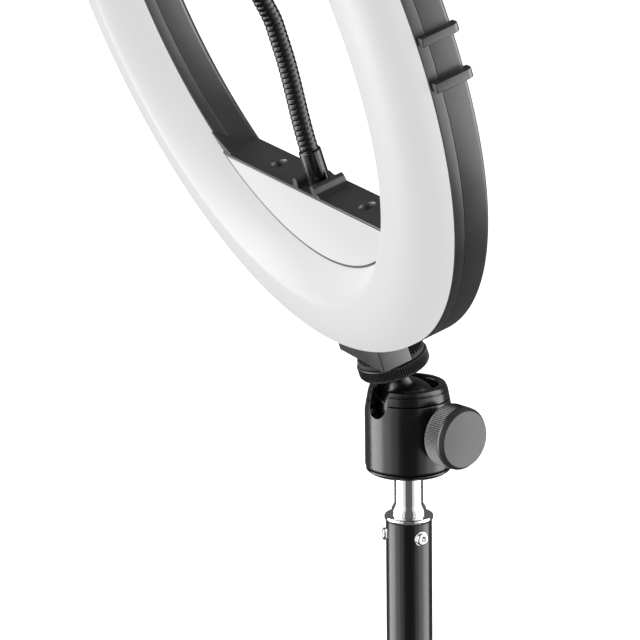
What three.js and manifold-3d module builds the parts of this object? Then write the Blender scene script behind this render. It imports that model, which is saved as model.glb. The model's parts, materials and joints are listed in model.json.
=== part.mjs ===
// Ring light with a phone holder on a gooseneck, a ball head and a folding light stand.
// Millimetres, +Z up, the diffuser faces -Y. The origin is the centre of the column cap's underside.
import * as THREE from 'three';
import { mergeVertices } from 'three/addons/utils/BufferGeometryUtils.js';
import Module from 'manifold-3d';

const wasm = await Module();
wasm.setup();

// ---------------------------------------------------------------- driving dimensions

const GAP = 0.3; // clearance between neighbouring pieces
const HALF_TURN = Math.PI;

// Light head, in the ring's own frame: X right, Y from front to back, Z up, centre of the ring.
const RING = { inner: 100.5, outer: 130, edge: 0.5, seam: 4, side: 11.4, back: 17, wall: 2, facets: 44 };
const DOME = { crest: 109, height: 13.75, outerPower: 2.6, innerPower: 1.5, skin: 1.8, steps: 4 };
const SHELF = { z: -74.9, front: -1, lip: 1.1, thickness: 2, back: 12.5 };
const PLATE = { front: -0.8, back: 1.2, radius: 100.1 };
const LEDS = { rows: [109, 121], perRow: 12, size: 3, board: 5.2, boardThickness: 1 };
const POSTS = { radius: 115, angles: [30, 90, 150, 210, 330], width: 4.5 };
const REAR_SCREW_ANGLES = { left: 150, right: 30 };
const SHELF_SCREW = { x: 34, y: 5.7 };
const STUD_Y = 10.6; // depth of the mounting stud's axis behind the rim's front edge
const BLOCK = { halfWidth: 17, front: -0.3, back: 11, bottom: -140.2, top: -126.5, boss: 8 };
const RAIL = { levels: [[5.3, 8.2], [-10.3, -7.1]], height: 3, front: 1, back: 14.8 };
const KNOB_X = 27;
const CONTROL_Z = -88;
const SOCKET = { x: 48, z: -82.5, radius: 4 };
const THREAD = 3; // drawn radius of a 1/4 inch stud, threads left plain

// Gooseneck and phone holder, in the ring's frame.
const NECK = { y: 5.2, foot: -74, ferrule: 3.85, ferruleTop: -61.4, bend: -30, top: -1.3, radius: 3.2 };
const HOLDER = { ballZ: 19, ballRadius: 5.5, swivelZ: 32, back: -5.3 };
const CLAMP = { halfGap: 30, halfHeight: 10, jaw: 4, reach: 22 };

// Ball head: the stud's axis leans forward with the ring.
const LEAN = 17.9; // degrees from upright, towards -Y
const BALL = { radius: 10.9, toRing: 163.55 };
const HEAD = { radius: 15, groove: 623.8, ball: 644, bore: 12.2, floor: -14.8, cupTop: 3.9, top: 9.2 };
const NOTCH_ANGLE = -75;
const KNOB_ANGLE = 15;
const NOTCH = { halfWidth: 4.15, bottom: 3.3 };
const KNOB_DROP = 4.9; // the lock knob's axis below the ball's centre

// Stand.
const TUBE = {
  base: { outer: 11, inner: 9.8, from: 4.3, to: 446 },
  mid: { outer: 9.5, inner: 8.3, from: 88, to: 488 },
  top: { outer: 8, inner: 6.8, from: 154, to: 604 },
};
const RIVET_ANGLES = [6, 126, 246];
const RIVET_Z = TUBE.top.to - 5.2;
const COLLAR = { below: 8, above: 32, knobDrop: 14 };
const LEG = { spread: 42, length: 320, radius: 6, wall: 1, pivotRadius: 22 };
const BRACE = { length: 140, width: 15.2, start: 12, depth: 13, thickness: 1.2 };
const HUB_Z = 20;
const SLIDER_Z = HUB_Z + 2 * BRACE.length * Math.cos(THREE.MathUtils.degToRad(LEG.spread));
const FLOOR_Z = -20;

// ---------------------------------------------------------------- materials

function material(grey, roughness, metalness) {
  return new THREE.MeshStandardMaterial({ color: new THREE.Color(grey, grey, grey), roughness, metalness });
}

const SATIN_BLACK = material(0.045, 0.45, 0);
const GLOSS_BLACK = material(0.02, 0.2, 0.3);
const MATT_BLACK = material(0.035, 0.75, 0);
const RUBBER = material(0.03, 0.9, 0);
const OPAL = material(0.85, 0.4, 0);
const WHITE = material(0.8, 0.45, 0);
const CHROME = material(0.75, 0.12, 1);
const STEEL = material(0.5, 0.35, 1);
const BRASS = new THREE.MeshStandardMaterial({ color: 0xb08d4a, roughness: 0.35, metalness: 1 });
const BOARD = new THREE.MeshStandardMaterial({ color: 0x1d4a2c, roughness: 0.6, metalness: 0 });

// ---------------------------------------------------------------- shape helpers

function rad(degrees) {
  return THREE.MathUtils.degToRad(degrees);
}

function signedVolume(positions, triangles) {
  const a = new THREE.Vector3();
  const b = new THREE.Vector3();
  const c = new THREE.Vector3();
  let sum = 0;
  for (let i = 0; i < triangles.length; i += 3) {
    a.fromArray(positions, 3 * triangles[i]);
    b.fromArray(positions, 3 * triangles[i + 1]);
    c.fromArray(positions, 3 * triangles[i + 2]);
    sum += a.dot(b.cross(c));
  }
  return sum / 6;
}

// A closed solid with shared vertices, no collapsed triangles and faces pointing out.
function solid(geometry) {
  const bare = geometry.clone();
  bare.deleteAttribute('normal');
  bare.deleteAttribute('uv');
  const merged = mergeVertices(bare, 1e-4);
  const positions = merged.getAttribute('position').array;
  const index = merged.getIndex().array;
  const triangles = [];
  for (let i = 0; i < index.length; i += 3) {
    const [a, b, c] = index.slice(i, i + 3);
    if (a !== b && b !== c && c !== a) {
      triangles.push(a, b, c);
    }
  }
  if (signedVolume(positions, triangles) < 0) {
    triangles.reverse();
  }
  const vertProperties = Float32Array.from(positions);
  const triVerts = Uint32Array.from(triangles);
  return new wasm.Manifold(new wasm.Mesh({ numProp: 3, vertProperties, triVerts }));
}

function toGeometry(manifold) {
  const mesh = manifold.getMesh();
  const geometry = new THREE.BufferGeometry();
  geometry.setAttribute('position', new THREE.BufferAttribute(mesh.vertProperties, 3));
  geometry.setIndex(new THREE.BufferAttribute(mesh.triVerts, 1));
  return geometry;
}

function join(...geometries) {
  return toGeometry(geometries.map(solid).reduce((sum, next) => sum.add(next)));
}

function cut(body, ...tools) {
  return toGeometry(tools.map(solid).reduce((rest, tool) => rest.subtract(tool), solid(body)));
}

function overlap(a, b) {
  return toGeometry(solid(a).intersect(solid(b)));
}

// A profile of [radius, height] points turned about Y; it starts and ends on the axis or closes on itself.
function turnedY(profile, facets = 12) {
  const onAxis = profile[0][0] === 0;
  const points = onAxis ? profile : [...profile, profile[0]];
  return new THREE.LatheGeometry(points.map(([r, h]) => new THREE.Vector2(r, h)), facets);
}

function turnedZ(profile, facets = 12) {
  return turnedY(profile, facets).rotateX(HALF_TURN / 2);
}

function rodZ(radius, from, to, facets = 12) {
  return turnedZ([[0, from], [radius, from], [radius, to], [0, to]], facets);
}

function rodY(radius, from, to, facets = 12) {
  return turnedY([[0, from], [radius, from], [radius, to], [0, to]], facets);
}

function rodX(radius, from, to, facets = 12) {
  return rodZ(radius, from, to, facets).rotateY(HALF_TURN / 2);
}

function sleeveZ(outer, inner, from, to, facets = 12) {
  return turnedZ([[inner, from], [outer, from], [outer, to], [inner, to]], facets);
}

function box(x, y, z) {
  const size = [x, y, z].map(([low, high]) => high - low);
  const middle = [x, y, z].map(([low, high]) => (high + low) / 2);
  return new THREE.BoxGeometry(...size).translate(...middle);
}

function ball(radius, x, y, z, around = 14, up = 7) {
  return new THREE.SphereGeometry(radius, around, up).rotateX(HALF_TURN / 2).translate(x, y, z);
}

// A shape drawn in X and Z, as thick in Y as the two depths say.
function slabY(shape, from, to, curveSegments = 16) {
  const options = { depth: to - from, bevelEnabled: false, curveSegments };
  return new THREE.ExtrudeGeometry(shape, options).rotateX(HALF_TURN / 2).translate(0, to, 0);
}

function shapeOf(points) {
  return new THREE.Shape(points.map(([x, y]) => new THREE.Vector2(x, y)));
}

// The part of a disc below a level chord.
function segmentShape(radius, chordZ) {
  const corner = Math.asin(chordZ / radius);
  const shape = new THREE.Shape();
  shape.absarc(0, 0, radius, corner, -HALF_TURN - corner, true);
  shape.closePath();
  return shape;
}

// ---------------------------------------------------------------- scene graph

const ringLight = new THREE.Group();
const headGroup = new THREE.Group();
const studGroup = new THREE.Group();
const ringGroup = new THREE.Group();

headGroup.position.z = HEAD.ball;
studGroup.rotation.x = rad(LEAN);
ringGroup.position.set(0, -STUD_Y, BALL.toRing);
ringLight.add(headGroup);
headGroup.add(studGroup);
studGroup.add(ringGroup);

function piece(group, name, geometry, look) {
  const mesh = new THREE.Mesh(toGeometry(solid(geometry)), look);
  mesh.name = name;
  group.add(mesh);
  return mesh;
}

// ---------------------------------------------------------------- light head

function housingChannel() {
  const { inner, outer, seam, side, back, wall, facets } = RING;
  const middle = POSTS.radius;
  return turnedY([
    [outer, seam + 0.2], [outer, side], [outer - 1.2, side + 1.6], [outer - 6, back - 2],
    [middle, back], [inner + 6, back - 2], [inner + 1.2, side + 1.6], [inner, side],
    [inner, seam + 0.2], [inner + wall, seam + 0.2], [inner + wall, side],
    [middle, back - wall], [outer - wall, side], [outer - wall, seam + 0.2],
  ], facets);
}

function shelf() {
  const { z, front, lip, thickness, back } = SHELF;
  const lipSlab = box([-70, 70], [front, 1.6], [z - lip, z]);
  const frontSlab = box([-70, 70], [1.5, RING.seam + 0.2], [z - thickness, z]);
  const frontHalf = overlap(join(lipSlab, frontSlab), rodY(RING.inner - GAP, front - 1, 5, RING.facets));
  const rearSlab = box([-70, 70], [RING.seam + 0.1, back], [z - thickness, z]);
  return join(frontHalf, overlap(rearSlab, rodY(RING.inner + 1, 0, back + 1, RING.facets)));
}

// Two soft ridges run from front to back, with the gooseneck's seat between them.
function cradle() {
  const z = SHELF.z;
  const outline = [
    [-10.4, z - 0.3], [-9.4, z + 2.4], [-8, z + 3.3], [-6.6, z + 3.1], [-5.6, z + 0.6],
    [4.4, z + 0.6], [5.2, z + 2.9], [6.6, z + 3.3], [8.4, z + 2.6], [10.4, z - 0.3],
  ];
  return slabY(shapeOf(outline), 0, SHELF.back - 1);
}

// The block stands on the ball head; a round boss behind it carries the thread.
function baseBlock() {
  const { halfWidth, front, back, bottom, top, boss } = BLOCK;
  const block = box([-halfWidth, halfWidth], [front, back], [bottom, top]);
  const round = rodZ(boss, bottom, top, 24).translate(0, STUD_Y, 0);
  return cut(join(block, round), rodY(RING.outer + GAP, front - 1, RING.seam + 0.2, RING.facets));
}

function rails() {
  const { levels, height, front, back } = RAIL;
  const pieces = [];
  for (const side of [-1, 1]) {
    const x = [side * (RING.outer - 1), side * (RING.outer + height)].sort((a, b) => a - b);
    for (const z of levels) {
      const rail = box(x, [front, back], z);
      pieces.push(cut(rail, rodY(RING.outer + GAP, front - 1, RING.seam + 0.2, RING.facets)));
    }
  }
  return pieces;
}

function postAt(angle, radius, from, to, facets = 10) {
  const x = POSTS.radius * Math.cos(rad(angle));
  const z = POSTS.radius * Math.sin(rad(angle));
  return rodY(radius, from, to, facets).translate(x, 0, z);
}

function housingPosts() {
  const from = LEDS.board + LEDS.boardThickness + GAP;
  return POSTS.angles.map((angle) => postAt(angle, POSTS.width, from, RING.back - 1));
}

function rearHousing() {
  const backWall = slabY(segmentShape(RING.inner + 1, SHELF.z - 0.5), SHELF.back - 2, SHELF.back);
  const shelfScrewPlaces = [-SHELF_SCREW.x, SHELF_SCREW.x];
  const bosses = shelfScrewPlaces.map((x) => rodZ(4.2, -86.5, SHELF.z - 1).translate(x, SHELF_SCREW.y, 0));
  const body = join(housingChannel(), shelf(), cradle(), backWall, baseBlock(),
    ...rails(), ...bosses, ...housingPosts());
  const shelfHoles = shelfScrewPlaces.flatMap((x) => [
    rodZ(2.85, -80, -70).translate(x, SHELF_SCREW.y, 0),
    rodZ(1.1, -85, -79).translate(x, SHELF_SCREW.y, 0),
  ]);
  const screwHoles = Object.values(REAR_SCREW_ANGLES).flatMap((angle) => [
    postAt(angle, 3, 13.5, 20, 16),
    postAt(angle, 1.2, 8, 14),
  ]);
  const knobHoles = [-KNOB_X, KNOB_X].map((x) => rodY(3.4, 10, 16).translate(x, 0, CONTROL_Z));
  const switchHole = box([-6.6, 6.6], [10, 16], [CONTROL_Z - 4.8, CONTROL_Z + 4.8]);
  const socketHole = rodY(SOCKET.radius + 0.4, 10, 16).translate(SOCKET.x, 0, SOCKET.z);
  const neckHole = rodZ(2.4, -80, -70).translate(0, NECK.y, 0);
  const insertHole = rodZ(5.3, -142, -129.5).translate(0, STUD_Y, 0);
  return cut(body, ...shelfHoles, ...screwHoles, ...knobHoles, switchHole, socketHole, neckHole, insertHole);
}

function frontFrame() {
  const { inner, outer, edge, seam, facets } = RING;
  const rear = seam - 0.1;
  const outerBand = turnedY([[outer - 1.8, edge], [outer, edge], [outer, rear], [outer - 1.8, rear]], facets);
  const innerBand = turnedY([[inner, edge], [inner + 1.8, edge], [inner + 1.8, rear], [inner, rear]], facets);
  const backing = slabY(segmentShape(inner + 1, -87.5), PLATE.back + GAP, rear);
  const spokes = [0, 60, 120, 180, 240, 300].map((angle) => (
    box([inner + 1, outer - 1], [rear - 1, rear], [-1.5, 1.5]).rotateY(rad(-angle))
  ));
  return join(outerBand, innerBand, backing, ...spokes);
}

// The diffuser's section is a lopsided dome: a quarter superellipse on each side of its crest.
function domeArc(innerSpan, outerSpan, height, base, steps) {
  const { crest, outerPower, innerPower } = DOME;
  const points = [];
  for (let i = 0; i <= 2 * steps; i += 1) {
    const turn = (i / (2 * steps)) * HALF_TURN;
    const outward = turn < HALF_TURN / 2;
    const power = outward ? outerPower : innerPower;
    const span = outward ? outerSpan : innerSpan;
    const across = Math.sign(Math.cos(turn)) * Math.abs(Math.cos(turn)) ** (2 / power);
    points.push([crest + span * across, base - height * Math.sin(turn) ** (2 / power)]);
  }
  return points;
}

function diffuser() {
  const { crest, height, skin, steps } = DOME;
  const base = RING.edge - GAP;
  const outside = domeArc(crest - RING.inner - 0.1, RING.outer - 0.1 - crest, height + base, base, steps);
  const innerSpan = crest - RING.inner - skin;
  const inside = domeArc(innerSpan, RING.outer - skin - crest, height - skin + base, base, steps / 2);
  return turnedY([...outside, ...inside.reverse()], RING.facets);
}

function frontPlate() {
  return slabY(segmentShape(PLATE.radius, SHELF.z - SHELF.lip - GAP), PLATE.front, PLATE.back, 24);
}

function ledBoard() {
  const { rows, perRow, size, board, boardThickness } = LEDS;
  const rear = board + boardThickness;
  const ring = turnedY([[104, board], [126, board], [126, rear], [104, rear]], RING.facets);
  const chips = [];
  rows.forEach((radius, row) => {
    for (let i = 0; i < perRow; i += 1) {
      const turn = ((i + row / 2) / perRow) * 2 * HALF_TURN;
      const chip = box([-size / 2, size / 2], [board - 0.8, board + 0.2], [-size / 2, size / 2]);
      chips.push(chip.translate(radius, 0, 0).rotateY(turn));
    }
  });
  return join(ring, ...chips);
}

// The board carries the two rotary controls and the switch behind the rear wall.
function controlBoard() {
  const sheet = box([-33, 33], [6, 7.4], [-93.5, -81]);
  const pots = [-KNOB_X, KNOB_X].map((x) => rodY(5, 7.3, 10.2, 16).translate(x, 0, CONTROL_Z));
  const shaftClearances = [-SHELF_SCREW.x, SHELF_SCREW.x].map((x) => (
    box([x - 4.6, x + 4.6], [5, 10.6], [-88, -76])
  ));
  const switchBody = box([-5, 5], [7.3, 9.4], [CONTROL_Z - 4, CONTROL_Z + 4]);
  const bare = cut(sheet, ...shaftClearances);
  return join(bare, switchBody, ...pots.map((pot) => cut(pot, ...shaftClearances)));
}

function powerSocket() {
  const barrel = rodY(SOCKET.radius, 5.8, 13.3);
  const bore = rodY(2.8, 7, 14);
  const pin = rodY(0.9, 6.8, 12);
  return join(cut(barrel, bore), pin).translate(SOCKET.x, 0, SOCKET.z);
}

function rearKnob(x) {
  const profile = [[0, 10.8], [3, 10.8], [3, 13], [6.2, 13], [6.2, 19], [5.6, 20], [0, 20]];
  return turnedY(profile).translate(x, 0, CONTROL_Z);
}

function rocker() {
  return box([-6, 6], [10.5, 14.5], [CONTROL_Z - 4.2, CONTROL_Z + 4.2]);
}

function rearScrew(angle) {
  const profile = [[0, 8.5], [0.8, 8.5], [0.8, 13.8], [2.6, 13.8], [2.6, 15.4], [0, 15.4]];
  const place = [POSTS.radius * Math.cos(rad(angle)), 0, POSTS.radius * Math.sin(rad(angle))];
  return turnedY(profile, 16).translate(...place);
}

function shelfScrew(x) {
  const profile = [[0, -84], [0.8, -84], [0.8, -79.7], [2.5, -79.7], [2.5, -78.2], [0, -78.2]];
  return turnedZ(profile, 16).translate(x, SHELF_SCREW.y, 0);
}

function threadInsert() {
  return sleeveZ(5, 3.5, BLOCK.bottom + GAP, -130, 24).translate(0, STUD_Y, 0);
}

piece(ringGroup, 'rear_housing', rearHousing(), SATIN_BLACK);
piece(ringGroup, 'front_frame', frontFrame(), SATIN_BLACK);
piece(ringGroup, 'diffuser', diffuser(), OPAL);
piece(ringGroup, 'front_plate', frontPlate(), WHITE);
piece(ringGroup, 'led_board', ledBoard(), BOARD);
piece(ringGroup, 'control_board', controlBoard(), BOARD);
piece(ringGroup, 'power_socket', powerSocket(), SATIN_BLACK);
piece(ringGroup, 'power_switch', rocker(), SATIN_BLACK);
piece(ringGroup, 'brightness_knob', rearKnob(KNOB_X), MATT_BLACK);
piece(ringGroup, 'colour_knob', rearKnob(-KNOB_X), MATT_BLACK);
piece(ringGroup, 'thread_insert', threadInsert(), BRASS);
piece(ringGroup, 'shelf_screw_left', shelfScrew(-SHELF_SCREW.x), STEEL);
piece(ringGroup, 'shelf_screw_right', shelfScrew(SHELF_SCREW.x), STEEL);
for (const [place, angle] of Object.entries(REAR_SCREW_ANGLES)) {
  piece(ringGroup, `rear_screw_${place}`, rearScrew(angle), STEEL);
}

// ---------------------------------------------------------------- gooseneck and phone holder

function gooseneckFerrule() {
  const { foot, ferrule, ferruleTop } = NECK;
  return turnedZ([[0, -79.5], [2, -79.5], [2, foot], [ferrule, foot], [ferrule, ferruleTop - 0.4],
    [ferrule - 0.4, ferruleTop], [0, ferruleTop]]);
}

// Both halves end in a cone at the bend, so the neck folds 60 degrees either way.
function gooseneckLower() {
  const { ferruleTop, bend, radius } = NECK;
  const taper = radius * Math.tan(rad(30));
  return turnedZ([[0, ferruleTop + GAP], [radius, ferruleTop + GAP], [radius, bend - GAP - taper],
    [0, bend - GAP]], 16);
}

function gooseneckUpper() {
  const { bend, top, radius } = NECK;
  const taper = radius * Math.tan(rad(30));
  return turnedZ([[0, bend + GAP], [radius, bend + GAP + taper], [radius, top], [0, top]], 16);
}

function gooseneckCollar() {
  return turnedZ([[0, -1], [4, -1], [4.3, -0.6], [4.3, 8.4], [3.7, 9], [0, 9]]);
}

function holderBall() {
  const stem = rodZ(2, 9.3, HOLDER.ballZ, 16);
  return join(stem, ball(HOLDER.ballRadius, 0, 0, HOLDER.ballZ));
}

function holderSocket() {
  const { ballZ, ballRadius, swivelZ, back } = HOLDER;
  const cup = turnedZ([[0, ballZ - 6.5], [8.5, ballZ - 6.5], [8.5, 24], [6, 26.5], [0, 26.5]]);
  const neck = box([-5, 5], [-6.2, 4], [25, 38]);
  const disc = rodY(7, -9.2, -6).translate(0, 0, swivelZ);
  const pin = rodY(3, back - NECK.y - 4, -9, 16).translate(0, 0, swivelZ);
  const seat = ball(ballRadius + GAP, 0, 0, ballZ);
  const mouth = turnedZ([[0, ballZ - 7], [6.3, ballZ - 7], [4.2, ballZ - 4], [0, ballZ - 4]]);
  return cut(join(cup, neck, disc, pin), seat, mouth);
}

function holderLockRing() {
  return sleeveZ(9.8, 8.8, 12, 18);
}

function clampBody() {
  const { halfGap, halfHeight, jaw, reach } = CLAMP;
  const z = HOLDER.swivelZ;
  const back = HOLDER.back - GAP;
  const height = [z - halfHeight, z + halfHeight];
  const bar = box([-halfGap - jaw, 18], [back - 8.5, back], height);
  const fixedJaw = box([-halfGap - jaw, -halfGap], [back - 8.5 - reach, back], height);
  const lip = box([-halfGap - 1, -halfGap + 4], [back - 8.5 - reach, back - 5.5 - reach], height);
  const slot = box([-halfGap + 2, 20], [back - 7, back - 2.6], [z - 7, z + 8]);
  const socket = rodY(3.3, back - 4.5, back + 1, 16).translate(0, 0, z);
  return cut(join(bar, fixedJaw, lip), slot, socket);
}

function clampJaw() {
  const { halfGap, halfHeight, jaw, reach } = CLAMP;
  const z = HOLDER.swivelZ;
  const back = HOLDER.back - GAP;
  const tongue = box([-20, halfGap + 1], [back - 6.6, back - 5], [z - 6.6, z + 2]);
  const face = box([halfGap, halfGap + jaw], [back - 8.5 - reach, back], [z - halfHeight, z + halfHeight]);
  const lip = box([halfGap - 4, halfGap + 1], [back - 8.5 - reach, back - 5.5 - reach],
    [z - halfHeight, z + halfHeight]);
  return join(tongue, face, lip);
}

function clampPad(side) {
  const { halfGap, halfHeight, reach } = CLAMP;
  const back = HOLDER.back - GAP - 8.5;
  const x = side < 0 ? [-halfGap + GAP, -halfGap + 1.8] : [halfGap - 1.8, halfGap - GAP];
  const z = [HOLDER.swivelZ - halfHeight + 1, HOLDER.swivelZ + halfHeight - 1];
  return box(x, [back - reach + 3.4, back - 1], z);
}

class Helix extends THREE.Curve {
  constructor(radius, from, to, turns) {
    super();
    Object.assign(this, { radius, from, to, turns });
  }

  getPoint(t, target = new THREE.Vector3()) {
    const turn = 2 * HALF_TURN * this.turns * t;
    const along = this.from + (this.to - this.from) * t;
    return target.set(along, this.radius * Math.cos(turn), this.radius * Math.sin(turn));
  }
}

function clampSpring() {
  const path = new Helix(1.5, -26, 10, 6);
  const wire = new THREE.Shape().absarc(0, 0, 0.35, 0, 2 * HALF_TURN);
  const options = { steps: 42, extrudePath: path, curveSegments: 2, bevelEnabled: false };
  const coil = new THREE.ExtrudeGeometry(wire, options);
  return coil.translate(0, HOLDER.back - GAP - 4.8, HOLDER.swivelZ + 5);
}

const neckGroup = new THREE.Group();
neckGroup.position.y = NECK.y;
ringGroup.add(neckGroup);
piece(neckGroup, 'gooseneck_ferrule', gooseneckFerrule(), GLOSS_BLACK);
piece(neckGroup, 'gooseneck_lower', gooseneckLower(), GLOSS_BLACK);
piece(neckGroup, 'gooseneck_upper', gooseneckUpper(), GLOSS_BLACK);
piece(neckGroup, 'gooseneck_collar', gooseneckCollar(), GLOSS_BLACK);
piece(neckGroup, 'holder_ball', holderBall(), CHROME);
piece(neckGroup, 'holder_socket', holderSocket(), SATIN_BLACK);
piece(neckGroup, 'holder_lock_ring', holderLockRing(), MATT_BLACK);
piece(ringGroup, 'clamp_body', clampBody(), SATIN_BLACK);
piece(ringGroup, 'clamp_jaw', clampJaw(), SATIN_BLACK);
piece(ringGroup, 'clamp_pad_fixed', clampPad(-1), RUBBER);
piece(ringGroup, 'clamp_pad_moving', clampPad(1), RUBBER);
piece(ringGroup, 'clamp_spring', clampSpring(), STEEL);

// ---------------------------------------------------------------- ball head

// Heights in the head group are counted from the ball's centre.
const GROOVE = HEAD.groove - HEAD.ball;

function notchTool() {
  const { halfWidth, bottom } = NOTCH;
  const round = rodX(halfWidth, 7, 20).translate(0, 0, bottom);
  const slot = box([7, 20], [-halfWidth, halfWidth], [bottom, 20]);
  return join(round, slot).rotateZ(rad(NOTCH_ANGLE));
}

function knobShaftTool(radius) {
  return rodX(radius, 6, 20, 16).translate(0, 0, -KNOB_DROP).rotateZ(rad(KNOB_ANGLE));
}

function headBody() {
  const { radius, bore, floor, cupTop } = HEAD;
  const cup = turnedZ([
    [8.4, GROOVE + 0.1], [radius - 0.8, GROOVE + 0.1], [radius, GROOVE + 0.9], [radius, cupTop - 3.8],
    [radius - 0.25, cupTop - 1.8], [radius - 0.65, cupTop], [bore, cupTop], [bore, floor],
    [4, floor], [4, GROOVE + 4], [8.4, GROOVE + 4],
  ], 24);
  return cut(cup, notchTool(), knobShaftTool(3.4));
}

function headBasePlate() {
  const { radius } = HEAD;
  return turnedZ([
    [3.5, GROOVE - 1.9], [radius - 1, GROOVE - 1.9], [radius - 0.3, GROOVE - 1.2],
    [radius - 0.3, GROOVE - 0.2], [8, GROOVE - 0.2], [8, GROOVE + 3.7], [3.5, GROOVE + 3.7],
  ], 24);
}

function headCollar() {
  const { radius, cupTop, top } = HEAD;
  const mouth = 10.4;
  const ring = turnedZ([
    [mouth, cupTop + GAP], [radius - 0.7, cupTop + GAP], [radius - 1.4, top - 1.9], [radius - 2.6, top],
    [mouth, top],
  ], 24);
  return cut(ring, notchTool());
}

function ballSeat() {
  const contact = BALL.radius + GAP;
  const arc = [-5.5, -7.5, -9.5].map((z) => [Math.sqrt(contact ** 2 - z ** 2), z]);
  const outer = HEAD.bore - GAP;
  const bottom = HEAD.floor + GAP;
  const cup = turnedZ([[4.5, bottom], [outer, bottom], [outer, -5.5], ...arc, [4.5, -10.4]], 24);
  return cut(cup, knobShaftTool(3.4));
}

function ballStud() {
  const neck = turnedZ([[0, 0], [4, 0], [4, 15.1], [THREAD, 15.8], [THREAD, 32.2], [0, 32.2]]);
  return join(ball(BALL.radius, 0, 0, 0, 24, 12), neck);
}

function platformWheel() {
  return turnedZ([[3.4, 16.1], [12.2, 16.1], [12.5, 16.4], [12.5, 20.3], [12.2, 20.6], [3.4, 20.6]], 24);
}

function platformPad() {
  return sleeveZ(11.8, 3.4, 20.9, 23.05, 28);
}

function lockKnob() {
  const profile = [[0, 15.6], [5.5, 15.6], [5.5, 20], [10.9, 20], [10.9, 27], [9.9, 29], [0, 29]];
  const bore = rodX(1.9, 14, 25).translate(0, 0, -KNOB_DROP);
  const knob = turnedZ(profile, 28).rotateY(HALF_TURN / 2).translate(0, 0, -KNOB_DROP);
  return cut(knob, bore).rotateZ(rad(KNOB_ANGLE));
}

function lockScrew() {
  return rodX(1.6, 12.4, 24.5).translate(0, 0, -KNOB_DROP).rotateZ(rad(KNOB_ANGLE));
}

piece(headGroup, 'head_base_plate', headBasePlate(), GLOSS_BLACK);
piece(headGroup, 'head_body', headBody(), GLOSS_BLACK);
piece(headGroup, 'head_collar', headCollar(), GLOSS_BLACK);
piece(headGroup, 'ball_seat', ballSeat(), MATT_BLACK);
piece(headGroup, 'lock_knob', lockKnob(), SATIN_BLACK);
piece(headGroup, 'lock_screw', lockScrew(), STEEL);
piece(studGroup, 'ball_stud', ballStud(), GLOSS_BLACK);
piece(studGroup, 'platform_wheel', platformWheel(), SATIN_BLACK);
piece(studGroup, 'platform_pad', platformPad(), RUBBER);

// ---------------------------------------------------------------- column

function spigot() {
  const g = HEAD.groove;
  const topOfTube = TUBE.top.to;
  const shaft = turnedZ([
    [0, topOfTube - 14], [6.5, topOfTube - 14], [6.5, topOfTube + 0.2], [8.5, topOfTube + 0.2],
    [8.5, g - 17.9], [6, g - 17.9], [6, g - 15.6], [5, g - 13.8], [5, g - 2.2], [3.1, g - 2.2],
    [3.1, g + 3], [0, g + 3],
  ]);
  return cut(shaft, ...rivetHoles(3.5, 9.5));
}

function rivetHoles(from, to) {
  return RIVET_ANGLES.map((angle) => rodX(1.5, from, to).translate(0, 0, RIVET_Z).rotateZ(rad(angle)));
}

function rivet(angle) {
  const { outer } = TUBE.top;
  const profile = [[0, 4], [1.2, 4], [1.2, outer + 0.2], [3, outer + 0.2], [3, outer + 0.5],
    [2.3, outer + 0.5], [1.5, outer + 1.2], [0, outer + 1.2]];
  return turnedZ(profile, 14).rotateY(HALF_TURN / 2).translate(0, 0, RIVET_Z).rotateZ(rad(angle));
}

function tube({ outer, inner, from, to }) {
  return sleeveZ(outer, inner, from, to, 24);
}

// A collar clamps the thicker tube's top and carries the knob that grips the thinner one.
function tubeCollar(thick, thin) {
  const { below, above, knobDrop } = COLLAR;
  const outer = thick.outer + 4;
  const sleeve = turnedZ([
    [thick.outer + GAP, thick.to - below], [outer, thick.to - below], [outer, thick.to + above - 1.5],
    [outer - 1.5, thick.to + above], [thin.outer + GAP, thick.to + above], [thin.outer + GAP, thick.to + GAP],
    [thick.outer + GAP, thick.to + GAP],
  ], 24);
  const z = thick.to + above - knobDrop;
  const boss = box([0, outer + 5], [-6, 6], [z - 7, z + 7]);
  const bossOutside = cut(boss, rodZ(thick.outer + 1, z - 10, z + 10, 24));
  return cut(join(sleeve, bossOutside), rodX(2.6, 5, outer + 8).translate(0, 0, z));
}

function collarKnob(thick, thin) {
  const z = thick.to + COLLAR.above - COLLAR.knobDrop;
  const face = thick.outer + 9 + GAP;
  const profile = [[0, thin.outer + GAP], [2.3, thin.outer + GAP], [2.3, face], [6, face], [10, face + 5],
    [10, face + 13], [9, face + 14], [0, face + 14]];
  return turnedZ(profile).rotateY(HALF_TURN / 2).translate(0, 0, z);
}

function columnCap() {
  return turnedZ([[0, 0], [10.2, 0], [11, 0.8], [11, 4], [9.5, 4], [9.5, 12], [0, 12]], 24);
}

piece(ringLight, 'spigot', spigot(), CHROME);
['front', 'rear', 'side'].forEach((place, i) => {
  piece(ringLight, `tube_rivet_${place}`, rivet(RIVET_ANGLES[(i + 2) % 3]), CHROME);
});
piece(ringLight, 'top_tube', cut(tube(TUBE.top), ...rivetHoles(5.5, 9.5)), GLOSS_BLACK);
piece(ringLight, 'mid_tube', tube(TUBE.mid), GLOSS_BLACK);
piece(ringLight, 'base_tube', tube(TUBE.base), GLOSS_BLACK);
piece(ringLight, 'upper_collar', tubeCollar(TUBE.mid, TUBE.top), SATIN_BLACK);
piece(ringLight, 'upper_collar_knob', collarKnob(TUBE.mid, TUBE.top), SATIN_BLACK);
piece(ringLight, 'lower_collar', tubeCollar(TUBE.base, TUBE.mid), SATIN_BLACK);
piece(ringLight, 'lower_collar_knob', collarKnob(TUBE.base, TUBE.mid), SATIN_BLACK);
piece(ringLight, 'column_cap', columnCap(), RUBBER);

// ---------------------------------------------------------------- legs

const LEG_ANGLES = [90, 210, 330];
const LEG_NAMES = ['rear', 'left', 'right'];
const TONGUE = 4.6;
const PIN = 2;
const EAR = 5; // radius of the rounded lug ends

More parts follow.
